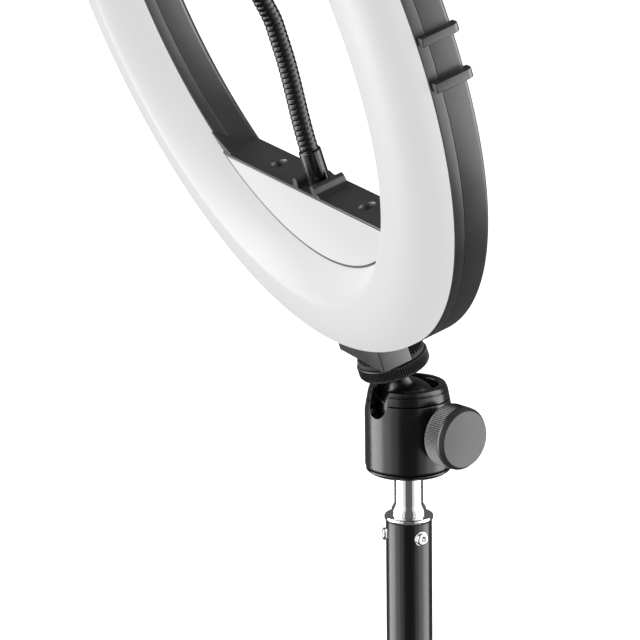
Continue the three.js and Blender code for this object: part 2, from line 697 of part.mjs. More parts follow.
// A sleeve on the column with a pair of lugs and a pivot pin for each leg or brace.
function lugSleeve(z, low, high, lugGap, lugThickness) {
  const { pivotRadius } = LEG;
  const sleeve = sleeveZ(TUBE.base.outer + 4.5, TUBE.base.outer + GAP, z + low, z + high, 24);
  const parts = [];
  for (const angle of LEG_ANGLES) {
    for (const side of [-1, 1]) {
      const inner = side * (lugGap / 2);
      const outer = side * (lugGap / 2 + lugThickness);
      const y = [inner, outer].sort((a, b) => a - b);
      const lug = join(
        box([TUBE.base.outer + 1, pivotRadius], y, [z - EAR, z + EAR]),
        rodY(EAR, y[0], y[1], 10).translate(pivotRadius, 0, z),
      );
      parts.push(lug.rotateZ(rad(angle)));
    }
    const reach = lugGap / 2 + lugThickness;
    parts.push(rodY(PIN, -reach, reach, 8).translate(pivotRadius, 0, z).rotateZ(rad(angle)));
  }
  return join(sleeve, ...parts);
}

function legHub() {
  return lugSleeve(HUB_Z, -9, 9, 6.6, 2.4);
}

function legSlider() {
  const bossZ = SLIDER_Z + 14;
  const sleeve = join(
    lugSleeve(SLIDER_Z, -9, 22, TONGUE + 0.8, 3),
    box([TUBE.base.outer + 1, TUBE.base.outer + 10], [-6, 6], [bossZ - 6, bossZ + 6]).rotateZ(rad(30)),
  );
  return cut(sleeve, rodX(2.6, TUBE.base.outer - 1, 30).translate(0, 0, bossZ).rotateZ(rad(30)));
}

function legLockKnob() {
  const face = TUBE.base.outer + 10 + GAP;
  const start = TUBE.base.outer + GAP;
  const profile = [[0, start], [2.3, start], [2.3, face], [5, face], [8, face + 4], [8, face + 11],
    [7.2, face + 12], [0, face + 12]];
  return turnedZ(profile).rotateY(HALF_TURN / 2).translate(0, 0, SLIDER_Z + 14).rotateZ(rad(30));
}

// A leg is drawn hanging straight down from its pivot, then swung out.
function leg() {
  const { radius, wall, length } = LEG;
  const shell = sleeveZ(radius, radius - wall, -length, -12);
  const plug = rodZ(radius - wall + 0.2, -24, -12);
  const tongue = join(
    box([-4.5, 4.5], [-TONGUE / 2, TONGUE / 2], [-20, 0]),
    rodY(4.5, -TONGUE / 2, TONGUE / 2, 16),
  );
  return cut(join(shell, plug, tongue), rodY(PIN + GAP, -5, 5, 10));
}

function foot() {
  const { radius, length } = LEG;
  const end = -length - GAP;
  const boot = turnedZ([[0, end - 4], [radius + 3, end - 4], [radius + 3, end + 6], [radius + 1.6, end + 16],
    [0, end + 16]]);
  return cut(join(boot, ball(radius + 3, 0, 0, end - 3)), rodZ(radius + GAP, end, end + 20));
}

// A brace is a channel, drawn standing up from its pivot on the hub; its web faces the column.
function brace() {
  const { length, width, depth, thickness, start } = BRACE;
  const half = width / 2;
  const flanges = [-1, 1].map((side) => {
    const y = [side * half, side * (half - thickness)].sort((a, b) => a - b);
    const long = box([-depth + 5, 5], y, [start, length]);
    const round = rodY(5, y[0], y[1], 12).translate(0, 0, length);
    return join(long, round);
  });
  const web = box([-depth + 5, -depth + 5 + thickness], [-half, half], [start, length - 16]);
  const tongue = join(
    box([-4.5, 4.5], [-3, 3], [0, start + 3]),
    box([-depth + 5, 5], [-half, half], [start, start + 3]),
    rodY(4.5, -3, 3, 16),
  );
  return cut(join(web, ...flanges, tongue), rodY(PIN + GAP, -5, 5, 10));
}

function swungOut(geometry, tilt, z, angle) {
  return geometry.rotateY(rad(tilt)).translate(LEG.pivotRadius, 0, z).rotateZ(rad(angle));
}

piece(ringLight, 'leg_hub', legHub(), SATIN_BLACK);
piece(ringLight, 'leg_slider', legSlider(), SATIN_BLACK);
piece(ringLight, 'leg_lock_knob', legLockKnob(), SATIN_BLACK);
LEG_ANGLES.forEach((angle, i) => {
  const floor = box([-400, 400], [-400, 400], [FLOOR_Z - 50, FLOOR_Z]);
  const place = LEG_NAMES[i];
  piece(ringLight, `leg_${place}`, swungOut(leg(), -LEG.spread, SLIDER_Z, angle), GLOSS_BLACK);
  piece(ringLight, `foot_${place}`, cut(swungOut(foot(), -LEG.spread, SLIDER_Z, angle), floor), RUBBER);
  piece(ringLight, `brace_${place}`, swungOut(brace(), LEG.spread, HUB_Z, angle), SATIN_BLACK);
});

export default ringLight;
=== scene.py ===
"""Looks for a ring light on a ball head and a folding stand.

Fine pieces are drawn in millimetres in the frame of the part they belong to, then placed in metres.
"""
import json
import math

import bmesh
import bpy
from mathutils import Matrix, Vector

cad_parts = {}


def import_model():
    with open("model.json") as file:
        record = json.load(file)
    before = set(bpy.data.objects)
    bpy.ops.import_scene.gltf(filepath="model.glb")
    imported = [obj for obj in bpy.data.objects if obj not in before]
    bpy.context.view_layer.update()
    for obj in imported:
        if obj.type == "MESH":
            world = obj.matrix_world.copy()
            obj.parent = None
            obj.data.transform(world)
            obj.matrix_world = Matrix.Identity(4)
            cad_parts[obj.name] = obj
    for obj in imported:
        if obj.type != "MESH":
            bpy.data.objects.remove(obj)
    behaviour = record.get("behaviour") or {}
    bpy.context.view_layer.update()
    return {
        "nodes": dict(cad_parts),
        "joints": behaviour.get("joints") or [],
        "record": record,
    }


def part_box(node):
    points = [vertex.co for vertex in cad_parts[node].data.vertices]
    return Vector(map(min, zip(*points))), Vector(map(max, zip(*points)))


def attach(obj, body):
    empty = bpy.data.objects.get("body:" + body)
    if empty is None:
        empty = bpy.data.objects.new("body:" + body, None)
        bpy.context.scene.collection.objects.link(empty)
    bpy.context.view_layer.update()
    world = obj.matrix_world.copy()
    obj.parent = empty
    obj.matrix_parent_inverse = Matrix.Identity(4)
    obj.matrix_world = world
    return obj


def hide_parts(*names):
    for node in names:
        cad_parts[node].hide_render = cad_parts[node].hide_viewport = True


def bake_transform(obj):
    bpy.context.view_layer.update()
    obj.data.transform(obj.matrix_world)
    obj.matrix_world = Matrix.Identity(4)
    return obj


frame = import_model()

MM = 0.001
TURN = 2 * math.pi

# ---------------------------------------------------------------- frames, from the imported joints


def joint(name):
    return next(j for j in frame["joints"] if j["name"] == name)


STUD_Y = 10.6  # depth of the stud's axis behind the front edge of the rim
BALL_TO_RING = 163.55
TO_METRES = Matrix.Scale(MM, 4)

ball_centre = Vector(joint("light_turn")["pos_m"])
stud_axis = Vector(joint("light_turn")["axis"])
lean = math.atan2(-stud_axis.y, stud_axis.z)

WORLD = TO_METRES
HEAD = Matrix.Translation(ball_centre) @ TO_METRES
STUD = Matrix.Translation(ball_centre) @ Matrix.Rotation(lean, 4, "X") @ TO_METRES
RING = STUD @ Matrix.Translation((0, -STUD_Y, BALL_TO_RING))
NECK_Y = 5.2
NECK = RING @ Matrix.Translation((0, NECK_Y, 0))

# ---------------------------------------------------------------- outlines


def soften(corners, closed, steps=4):
    """Corners are (a, b) or (a, b, fillet radius); each fillet becomes an arc."""
    points = []
    count = len(corners)
    for i, corner in enumerate(corners):
        here = Vector(corner[:2])
        radius = corner[2] if len(corner) > 2 else 0
        at_end = not closed and i in (0, count - 1)
        if not radius or at_end:
            points.append(here)
            continue
        before = Vector(corners[i - 1][:2]) - here
        after = Vector(corners[(i + 1) % count][:2]) - here
        half = before.angle(after) / 2
        reach = min(radius / math.tan(half), 0.49 * before.length, 0.49 * after.length)
        radius = reach * math.tan(half)
        centre = here + (before.normalized() + after.normalized()).normalized() * radius / math.sin(half)
        start = here + before.normalized() * reach - centre
        sweep = start.angle_signed(here + after.normalized() * reach - centre)
        for k in range(steps + 1):
            arm = start.copy()
            arm.rotate(Matrix.Rotation(-sweep * k / steps, 2))
            points.append(centre + arm)
    return [tuple(p) for p in points]


def arc(radius, start, end, steps, centre=(0, 0)):
    """Points round a circle, angles in degrees."""
    points = []
    for k in range(steps + 1):
        angle = math.radians(start + (end - start) * k / steps)
        points.append((centre[0] + radius * math.cos(angle), centre[1] + radius * math.sin(angle)))
    return points


# ---------------------------------------------------------------- solids, as bmesh in millimetres

AXES = {
    "Z": Matrix.Identity(4),
    "Y": Matrix.Rotation(-math.pi / 2, 4, "X"),
    "X": Matrix.Rotation(math.pi / 2, 4, "Y"),
}


def closed_up(bm):
    bmesh.ops.recalc_face_normals(bm, faces=bm.faces)
    return bm


def moved(bm, *matrices):
    for matrix in matrices:
        bm.transform(matrix)
    return bm


def lathe(corners, segments=64, axis="Z", ripple=None):
    """A turned solid. Corners are (radius, height[, fillet]); they start and end on the axis, or close."""
    closed = corners[0][0] > 0
    outline = soften(corners, closed)
    bm = bmesh.new()
    rows = []
    for radius, height in outline:
        if radius < 1e-6:
            rows.append([bm.verts.new((0, 0, height))] * segments)
            continue
        row = []
        for k in range(segments):
            angle = TURN * k / segments
            r = radius + (ripple(angle, radius, height) if ripple else 0)
            row.append(bm.verts.new((r * math.cos(angle), r * math.sin(angle), height)))
        rows.append(row)
    pairs = list(zip(rows, rows[1:]))
    if closed:
        pairs.append((rows[-1], rows[0]))
    for low, high in pairs:
        tip, rim = (low, high) if low[0] == low[1] else (high, low)
        if tip[0] == tip[1] and tip[0].co.z == rim[0].co.z:
            bm.faces.new(rim)
            continue
        for k in range(segments):
            n = (k + 1) % segments
            ring = []
            for vert in (low[k], low[n], high[n], high[k]):
                if vert not in ring:
                    ring.append(vert)
            if len(ring) > 2:
                bm.faces.new(ring)
    bmesh.ops.delete(bm, geom=[v for v in bm.verts if not v.link_faces], context="VERTS")
    return closed_up(moved(bm, AXES[axis]))


def round_off(bm, edges, radius, steps, **settings):
    bmesh.ops.bevel(bm, geom=edges, offset=radius, segments=steps, profile=0.5, affect="EDGES", **settings)


def prism(corners, low, high, axis="Y", edge=0.0):
    """A flat outline made thick along an axis, with its rim edges rounded by `edge`."""
    outline = soften(corners, True)
    bm = bmesh.new()
    place = {
        "X": lambda a, b, c: (c, a, b),
        "Y": lambda a, b, c: (a, c, b),
        "Z": lambda a, b, c: (a, b, c),
    }[axis]
    ends = [[bm.verts.new(place(a, b, c)) for a, b in outline] for c in (low, high)]
    caps = [bm.faces.new(ends[0]), bm.faces.new(ends[1])]
    count = len(outline)
    for k in range(count):
        n = (k + 1) % count
        bm.faces.new((ends[0][k], ends[0][n], ends[1][n], ends[1][k]))
    closed_up(bm)
    if edge:
        rims = list({e for cap in caps for e in cap.edges})
        round_off(bm, rims, edge, 3, clamp_overlap=True)
    return closed_up(bm)


def block(x, y, z, edge=0.0, steps=3):
    bm = bmesh.new()
    bmesh.ops.create_cube(bm, size=1)
    size = [b - a for a, b in (x, y, z)]
    middle = [(a + b) / 2 for a, b in (x, y, z)]
    moved(bm, Matrix.Diagonal((*size, 1)), Matrix.Translation(middle))
    if edge:
        round_off(bm, list(bm.edges), edge, steps)
    return closed_up(bm)


def rod(radius, low, high, axis="Z", edge=0.0, segments=48):
    return lathe([(0, low), (radius, low, edge), (radius, high, edge), (0, high)], segments, axis)


def ring_of(outer, inner, low, high, axis="Z", edge=0.3, segments=96):
    corners = [(inner, low, edge), (outer, low, edge), (outer, high, edge), (inner, high, edge)]
    return lathe(corners, segments, axis)


def sphere(radius, centre=(0, 0, 0), around=64, up=32):
    bm = bmesh.new()
    bmesh.ops.create_uvsphere(bm, u_segments=around, v_segments=up, radius=radius)
    return moved(bm, Matrix.Translation(centre))


def merged(*solids):
    """Several separate shells in one bmesh."""
    mesh = bpy.data.meshes.new("merge")
    bm = bmesh.new()
    for solid in solids:
        solid.to_mesh(mesh)
        solid.free()
        bm.from_mesh(mesh)
    bpy.data.meshes.remove(mesh)
    return bm


def loose_object(bm):
    mesh = bpy.data.meshes.new("loose")
    bm.to_mesh(mesh)
    bm.free()
    obj = bpy.data.objects.new("loose", mesh)
    bpy.context.scene.collection.objects.link(obj)
    return obj


def boolean(operation, base, tools):
    target = loose_object(base)
    helpers = [loose_object(tool) for tool in tools]
    for helper in helpers:
        step = target.modifiers.new("step", "BOOLEAN")
        step.object = helper
        step.operation = operation
        step.solver = "EXACT"
    graph = bpy.context.evaluated_depsgraph_get()
    result = bpy.data.meshes.new_from_object(target.evaluated_get(graph))
    bm = bmesh.new()
    bm.from_mesh(result)
    bpy.data.meshes.remove(result)
    for obj in [target, *helpers]:
        mesh = obj.data
        bpy.data.objects.remove(obj)
        bpy.data.meshes.remove(mesh)
    bmesh.ops.remove_doubles(bm, verts=bm.verts, dist=1e-4)
    bmesh.ops.dissolve_degenerate(bm, edges=bm.edges, dist=1e-4)
    return bm


def united(base, *others):
    return boolean("UNION", base, others)


def carved(base, *tools):
    return boolean("DIFFERENCE", base, tools)


def shared(base, *others):
    return boolean("INTERSECT", base, others)


# ---------------------------------------------------------------- placing a piece

SHARP = math.radians(38)


def add(name, bm, place, body, look, *stands_for, sharp=SHARP):
    """Places a bmesh drawn in millimetres as a piece that rides on a body and replaces CAD nodes."""
    bm.transform(place)
    for face in bm.faces:
        face.smooth = True
    mesh = bpy.data.meshes.new(name)
    bm.to_mesh(mesh)
    bm.free()
    mesh.set_sharp_from_angle(angle=sharp)
    obj = bpy.data.objects.new(name, mesh)
    bpy.context.scene.collection.objects.link(obj)
    slot, shader = look
    mesh.materials.append(shader)
    if body:
        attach(obj, body)
    if stands_for:
        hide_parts(*stands_for)
    return obj


# ---------------------------------------------------------------- materials


class Nodes:
    """A short way to write a material's node graph."""

    def __init__(self, name):
        self.material = bpy.data.materials.new(name)
        self.material.use_nodes = True
        self.tree = self.material.node_tree
        self.surface = self.tree.nodes["Principled BSDF"]
        coordinates = self.add("ShaderNodeTexCoord")
        self.position = coordinates.outputs["Object"]

    def add(self, kind, **settings):
        node = self.tree.nodes.new(kind)
        for key, value in settings.items():
            setattr(node, key, value)
        return node

    def link(self, source, target):
        self.tree.links.new(source, target)

    def set(self, node, **values):
        for key, value in values.items():
            node.inputs[key.replace("_", " ")].default_value = value
        return node

    def noise(self, scale, detail, stretch=None):
        node = self.add("ShaderNodeTexNoise")
        self.set(node, Scale=scale, Detail=detail)
        source = self.position
        if stretch:
            mapping = self.add("ShaderNodeMapping")
            mapping.inputs["Scale"].default_value = stretch
            self.link(source, mapping.inputs["Vector"])
            source = mapping.outputs["Vector"]
        self.link(source, node.inputs["Vector"])
        return node.outputs["Fac"]

    def spread(self, source, low, high, start=0.3, end=0.7):
        node = self.add("ShaderNodeMapRange")
        self.set(node, From_Min=start, From_Max=end, To_Min=low, To_Max=high)
        self.link(source, node.inputs["Value"])
        return node.outputs["Result"]

    def tint(self, source, dark, light):
        node = self.add("ShaderNodeMix", data_type="RGBA")
        node.inputs[6].default_value = (*dark, 1)
        node.inputs[7].default_value = (*light, 1)
        self.link(source, node.inputs[0])
        return node.outputs[2]

    def bump(self, height, distance, strength, normal=None):
        node = self.add("ShaderNodeBump")
        self.set(node, Strength=strength, Distance=distance)
        self.link(height, node.inputs["Height"])
        if normal:
            self.link(normal, node.inputs["Normal"])
        return node.outputs["Normal"]

    def rounded_edges(self, radius):
        node = self.add("ShaderNodeBevel", samples=4)
        node.inputs["Radius"].default_value = radius
        return node.outputs["Normal"]


TOOL_RING_DEPTH = 0.000004


def grey(value):
    return (value, value, value * 1.01)


def moulded_plastic(name, dark, light, roughness, grain=0.00002, edges=0.0, ior=1.5):
    """Moulded plastic: fine spark-erosion grain, uneven sheen, and a painted highlight that makes the convex
    edges paler.
    """
    n = Nodes(name)
    cloud = n.spread(n.noise(14, 4), 0, 1)
    colour = n.tint(cloud, grey(dark), grey(light))
    geometry = n.add("ShaderNodeNewGeometry")
    # painted highlight: convex edges (high pointiness) get a paler colour, standing in for the light that
    # catches them
    painted_edge_highlight = n.spread(geometry.outputs["Pointiness"], 0, 1, 0.53, 0.62)
    painted_edge_highlight_colour = n.add("ShaderNodeMix", data_type="RGBA")
    painted_edge_highlight_colour.inputs[7].default_value = (*grey(light * 1.9), 1)
    n.link(painted_edge_highlight, painted_edge_highlight_colour.inputs[0])
    n.link(colour, painted_edge_highlight_colour.inputs[6])
    n.link(painted_edge_highlight_colour.outputs[2], n.surface.inputs["Base Color"])
    n.link(n.spread(n.noise(40, 3), roughness - 0.05, roughness + 0.06), n.surface.inputs["Roughness"])
    normal = n.rounded_edges(edges) if edges else None
    n.link(n.bump(n.noise(3200, 2), grain, 0.6, normal), n.surface.inputs["Normal"])
    n.set(n.surface, IOR=ior)
    return n.material


def turned_metal(name, colour, roughness, coat=0.0, edges=0.0):
    """Turned and plated metal: faint tool rings round the work, and a little smudging."""
    n = Nodes(name)
    smudge = n.noise(30, 4)
    n.link(n.tint(n.spread(smudge, 0, 1), [c * 0.92 for c in colour], colour), n.surface.inputs["Base Color"])
    n.link(n.spread(smudge, roughness * 0.85, roughness * 1.3), n.surface.inputs["Roughness"])
    rings = n.noise(900, 2, stretch=(0.02, 0.02, 3))
    normal = n.rounded_edges(edges) if edges else None
    n.link(n.bump(rings, TOOL_RING_DEPTH, 0.5, normal), n.surface.inputs["Normal"])
    n.set(n.surface, Metallic=1, Coat_Weight=coat, Coat_Roughness=0.12)
    return n.material


def coated_metal(name, dark, light, roughness, orange_peel=0.00001, coat=0.0, edges=0.0):
    """Black coated metal: faint orange peel and hairline scuffs along the work."""
    n = Nodes(name)
    n.link(n.tint(n.spread(n.noise(22, 5), 0, 1), grey(dark), grey(light)), n.surface.inputs["Base Color"])
    scuffs = n.noise(160, 5, stretch=(6, 6, 0.4))
    n.link(n.spread(scuffs, roughness - 0.02, roughness + 0.04, 0.35, 0.75), n.surface.inputs["Roughness"])
    normal = n.rounded_edges(edges) if edges else None
    n.link(n.bump(n.noise(1300, 3), orange_peel, 0.5, normal), n.surface.inputs["Normal"])
    n.set(n.surface, Coat_Weight=coat, Coat_Roughness=0.15, IOR=1.52)
    return n.material


def rubber(name, value):
    n = Nodes(name)
    n.link(n.tint(n.spread(n.noise(60, 5), 0, 1), grey(value), grey(value * 1.8)),
           n.surface.inputs["Base Color"])
    n.link(n.spread(n.noise(90, 3), 0.68, 0.88), n.surface.inputs["Roughness"])
    n.link(n.bump(n.noise(1800, 4), 0.00005, 0.7, n.rounded_edges(0.0003)), n.surface.inputs["Normal"])
    return n.material


def opal(name):
    """Opal diffuser: a satin skin that light spreads under, with a painted glow (emission) that stands in for
    its evenly lit look.
    """
    n = Nodes(name)
    cloud = n.spread(n.noise(9, 3), 0, 1)
    n.link(n.tint(cloud, (0.063, 0.063, 0.064), (0.066, 0.066, 0.066)), n.surface.inputs["Base Color"])
    n.link(n.spread(n.noise(30, 3), 0.42, 0.48), n.surface.inputs["Roughness"])
    n.set(n.surface, Subsurface_Weight=0.2, Subsurface_Scale=0.004, Subsurface_Radius=(1, 1, 1), IOR=1.49)
    # painted glow: this emission, not the lamps, gives the diffuser most of its brightness over a dark base
    # colour
    n.set(n.surface, Emission_Color=(1, 1, 1, 1), Emission_Strength=0.632)
    return n.material


def white_lacquer(name):
    n = Nodes(name)
    n.link(n.tint(n.spread(n.noise(18, 3), 0, 1), (0.055, 0.055, 0.056), (0.058, 0.058, 0.058)),
           n.surface.inputs["Base Color"])
    n.link(n.spread(n.noise(50, 3), 0.42, 0.46), n.surface.inputs["Roughness"])
    n.link(n.rounded_edges(0.0003), n.surface.inputs["Normal"])
    # painted glow: the emission makes the plate bright over a dark base colour; the plate is no lamp
    n.set(n.surface, Emission_Color=(1, 1, 1, 1), Emission_Strength=0.62)
    return n.material


def solder_mask(name):
    n = Nodes(name)
    tracks = n.spread(n.noise(260, 2, stretch=(1, 1, 0.2)), 0, 1, 0.48, 0.52)
    n.link(n.tint(tracks, (0.01, 0.07, 0.03), (0.02, 0.14, 0.06)), n.surface.inputs["Base Color"])
    n.set(n.surface, Roughness=0.4)
    return n.material


LOOKS = {
    "black_shell": moulded_plastic("satin_abs", 0.010, 0.014, 0.38, edges=0.0003, ior=1.9),
    "black_knob": moulded_plastic("knurled_black", 0.018, 0.024, 0.36, edges=0.0001, ior=1.55),
    "opal_diffuser": opal("opal_polycarbonate"),
    "white_plate": white_lacquer("white_lacquer"),
    "circuit_board": solder_mask("solder_mask"),
    "brass": turned_metal("turned_brass", (0.72, 0.52, 0.26), 0.25),
    "steel": turned_metal("zinc_plate", (0.52, 0.52, 0.53), 0.32, edges=0.0002),
    "black_chrome": turned_metal("black_chrome", (0.05, 0.05, 0.052), 0.17, coat=0.1, edges=0.0002),
    "chrome": turned_metal("bright_chrome", (0.80, 0.80, 0.81), 0.09, edges=0.0002),
    "gloss_black_metal": coated_metal("black_anodised", 0.002, 0.003, 0.25, 0.000003, coat=0.1, edges=0.0004),
    "nylon": moulded_plastic("black_nylon", 0.02, 0.03, 0.5),
    "rubber": rubber("black_rubber", 0.014),
    "tube_black": coated_metal("black_tube", 0.002, 0.003, 0.23, 0.000005, coat=0.1, edges=0.0002),
    "collar_black": moulded_plastic("stand_plastic", 0.013, 0.02, 0.46, edges=0.0003),
    "brace_black": coated_metal("brace_paint", 0.008, 0.013, 0.34, edges=0.0002),
}


def look(slot):
    return slot, LOOKS[slot]


def dress_cad_nodes():
    """Every CAD node gets its slot's material; the ones that are replaced later are hidden anyway."""
    for row in frame["record"]["subparts"]:
        obj = frame["nodes"][row["node"]]
        obj.data.materials.clear()
        obj.data.materials.append(LOOKS[row["material_slot"]])


NODE_SLOT = {row["node"]: row["material_slot"] for row in frame["record"]["subparts"]}
NODE_BODY = {node: body for body, nodes in frame["record"]["behaviour"]["bodies"].items() for node in nodes}


def fine(node, bm, place, sharp=SHARP):
    """The fine surface of one CAD node: same body, same finish, shown in its stead."""
    return add(f"{node}_fine", bm, place, NODE_BODY[node], look(NODE_SLOT[node]), node, sharp=sharp)


def knurl(count, depth, at_radius, low, high):
    """Straight teeth on the part of a lathe that is at a radius and between two heights."""

    def ripple(angle, radius, height):
        if radius < at_radius - 0.05 or not low <= height <= high:
            return 0
        return -depth * abs(math.sin(angle * count / 2))

    return ripple


def evenly(low, high, steps):
    return [low + (high - low) * k / steps for k in range(steps + 1)]


def screw_head(radius, low, high, recess):
    """A pan head with a cross recess."""
    head = lathe([(0, low), (radius, low), (radius, high - 0.5, 0.3), (radius * 0.7, high, 0.5),
                  (0, high)], 48)
    cross = [block((-a, a), (-b, b), (high - recess, high + 1)) for a, b in
             ((radius * 0.55, radius * 0.13), (radius * 0.13, radius * 0.55))]
    return carved(head, *cross)


# ---------------------------------------------------------------- light head

RING_INNER, RING_OUTER = 100.5, 130.0
SEAM_Y = 4.0
WALL_Y = 13.0  # where the side walls turn into the rounded back
BACK_Y = 17.0
CREST = 109.0
DOME_HEIGHT = 13.75
SHELF_Z = -74.9
SHELF_BACK = 12.3
PLATE_RADIUS = 100.1  # the opening that the plate sits in
PLATE_GAP = 0.3  # the shadow line round the plate
CONTROL_Z = -88
KNOB_X = 27
SOCKET = (48, -82.5)
SHELF_HOLE_X = 34
SHELF_HOLE_Y = 5.7
BLOCK_X, BLOCK_FRONT, BLOCK_BACK = 17, -0.3, 11
BLOCK_BOTTOM, BLOCK_TOP = -140.2, -126.5
BOSS_RADIUS = 8
POST_RADIUS = 115
REAR_SCREWS = {"rear_screw_right": 30, "rear_screw_left": 150}
RAIL_LEVELS = ((5.3, 8.2), (-10.3, -7.1))


def chord(radius, z):
    return math.sqrt(radius ** 2 - z ** 2)


def segment(radius, z):
    """The part of a disc below a level chord, as an outline."""
    corner = math.degrees(math.asin(z / radius))
    return arc(radius, corner, -180 - corner, 96)


def post_place(angle):
    """Where a screw post stands in the ring, by its angle from the right."""
    turn = math.radians(angle)
    return Matrix.Translation((POST_RADIUS * math.cos(turn), 0, POST_RADIUS * math.sin(turn)))


def strip(radius, top, bottom):
    """A level strip across a disc."""
    a, b = chord(radius, top), chord(radius, bottom)
    return [(a, top), (b, bottom), (-b, bottom), (-a, top)]


def ridge(side):
    """One of the two soft ridges of the gooseneck's seat, with an S-shaped flank away from the neck."""
    z = SHELF_Z
    near, far = (5.0, 10.4) if side > 0 else (6.0, 10.4)
    corners = [(near, z - 0.4), (near - 0.5, z + 3.3, 1.4), (near + 2.2, z + 3.4, 1.6),
               (near + 3.4, z + 0.5, 1.4), (far, z + 0.1, 0.5), (far, z - 0.4)]
    bm = prism([(side * x, *rest) for x, *rest in corners], -0.6, 11.5, "Y")
    back_rim = [e for e in bm.edges if all(v.co.y > 11.4 and v.co.z > z for v in e.verts)]
    round_off(bm, back_rim, 1.2, 4, clamp_overlap=True)
    return closed_up(bm)


def gusset(side):
    """A wedge between the shelf and the inner wall, wide in front and running out to nothing behind."""
    corner = (side * (chord(RING_INNER, SHELF_Z) + 0.6), SHELF_Z - 0.5)
    along = (side * (chord(RING_INNER, SHELF_Z) - 7), SHELF_Z - 0.5)
    up = (side * (chord(RING_INNER, SHELF_Z + 7) + 0.6), SHELF_Z + 7)
    bm = bmesh.new()
    front = [bm.verts.new((x, -0.3, z)) for x, z in (corner, along, up)]
    tip = bm.verts.new((corner[0], SHELF_BACK - 0.6, corner[1]))
    bm.faces.new(front)
    for a, b in zip(front, front[1:] + front[:1]):
        bm.faces.new((a, b, tip))
    room = lathe([(0, -1), (RING_INNER - 0.25, -1), (RING_INNER - 0.25, SEAM_Y + 0.1),
                  (RING_INNER + 1, SEAM_Y + 0.1), (RING_INNER + 1, SHELF_BACK), (0, SHELF_BACK)], 288, "Y")
    return shared(closed_up(bm), room)


def rail(side, low, high):
    """A rounded runner for an accessory, on the rim; its front end stands clear of the front frame."""
    inner, outer = side * (RING_OUTER - 1.5), side * (RING_OUTER + 3)
    outline = [(inner, 1), (outer, 1, 0.4), (outer, 14.8, 2.7), (inner, 14.8, 0.3)]
    runner = prism(outline, low, high, "Z", edge=0.45)
    return carved(runner, rod(RING_OUTER + 0.15, -1, SEAM_Y + 0.1, "Y", segments=288))


def rear_housing():
    front = SEAM_Y + 0.06
    channel = lathe([
        (RING_OUTER, front, 0.15), (RING_OUTER, WALL_Y, 1.5), (124.5, 15.4, 6), (115, BACK_Y, 14),
        (105.8, 15.4, 6), (RING_INNER, WALL_Y, 1.5), (RING_INNER, front, 0.15), (102.5, front),
        (102.5, 11.6), (115, 15), (128, 11.6), (128, front)], 288, "Y")
    front_of_shelf = prism(strip(RING_INNER - 0.25, SHELF_Z, SHELF_Z - 2), -0.2, SEAM_Y + 0.3, "Y")
    lip = prism(strip(RING_INNER - 0.4, SHELF_Z, SHELF_Z - 1.1), -1, 1.6, "Y", edge=0.3)
    rear_of_shelf = prism(strip(RING_INNER + 1, SHELF_Z, SHELF_Z - 2), SEAM_Y + 0.2, SHELF_BACK, "Y")
    back_wall = prism(segment(RING_INNER + 1, SHELF_Z - 0.1), SHELF_BACK - 2, SHELF_BACK, "Y")
    base = block((-BLOCK_X, BLOCK_X), (BLOCK_FRONT, BLOCK_BACK), (BLOCK_BOTTOM, BLOCK_TOP), edge=0.5)
    base = carved(base, rod(RING_OUTER + 0.2, -1, SEAM_Y + 0.25, "Y", segments=288))
    boss = moved(rod(BOSS_RADIUS, BLOCK_BOTTOM, -124, edge=0.5), Matrix.Translation((0, STUD_Y, 0)))
    gussets = [gusset(side) for side in (-1, 1)]
    rails = [rail(side, *level) for side in (-1, 1) for level in RAIL_LEVELS]
    bosses = [moved(rod(4.2, -86.5, SHELF_Z - 1), Matrix.Translation((x, SHELF_HOLE_Y, 0)))
              for x in (-SHELF_HOLE_X, SHELF_HOLE_X)]
    body = united(channel, front_of_shelf, lip, rear_of_shelf, back_wall, base, boss, ridge(1), ridge(-1),
                  *rails, *bosses, *gussets)
    holes = []
    for x in (-SHELF_HOLE_X, SHELF_HOLE_X):
        hole = lathe([(0, -79.8), (2.6, -79.8), (2.85, -75.4), (3.2, SHELF_Z + 0.05), (3.2, -73),
                      (0, -73)], 48)
        holes.append(moved(hole, Matrix.Translation((x, SHELF_HOLE_Y, 0))))
    for angle in REAR_SCREWS.values():
        holes.append(moved(rod(3, 13.6, 20, "Y"), post_place(angle)))
    for x in (-KNOB_X, KNOB_X):
        holes.append(moved(rod(3.4, 10, 16, "Y"), Matrix.Translation((x, 0, CONTROL_Z))))
    holes.append(moved(rod(4.4, 10, 16, "Y"), Matrix.Translation((SOCKET[0], 0, SOCKET[1]))))
    holes.append(block((-6.6, 6.6), (10, 16), (CONTROL_Z - 4.8, CONTROL_Z + 4.8), edge=0.4))
    holes.append(moved(rod(2.4, -80, -70), Matrix.Translation((0, NECK_Y, 0))))
    holes.append(moved(rod(5.3, -142, -129.5), Matrix.Translation((0, STUD_Y, 0))))
    fine("rear_housing", carved(body, *holes), RING)


def front_frame():
    low, high = 0.5, SEAM_Y + 0.02
    bands = [ring_of(RING_OUTER, RING_OUTER - 1.8, low, high, "Y", 0.05, 288),
             ring_of(RING_INNER + 1.8, RING_INNER, low, high, "Y", 0.05, 288)]
    backing = prism(segment(RING_INNER + 1, -87.5), 1.5, high, "Y")
    lip = carved(ring_of(RING_INNER + 0.05, PLATE_RADIUS + 0.05, -0.7, 1, "Y", 0.05, 288),
                 block((-110, 110), (-5, 5), (SHELF_Z - 1.6, 110)))
    spokes = []
    for k in range(6):
        spoke = block((RING_INNER + 1, RING_OUTER - 1), (high - 1, high), (-1.5, 1.5))
        spokes.append(moved(spoke, Matrix.Rotation(TURN * k / 6, 4, "Y")))
    fine("front_frame", united(bands[0], bands[1], backing, lip, *spokes), RING)


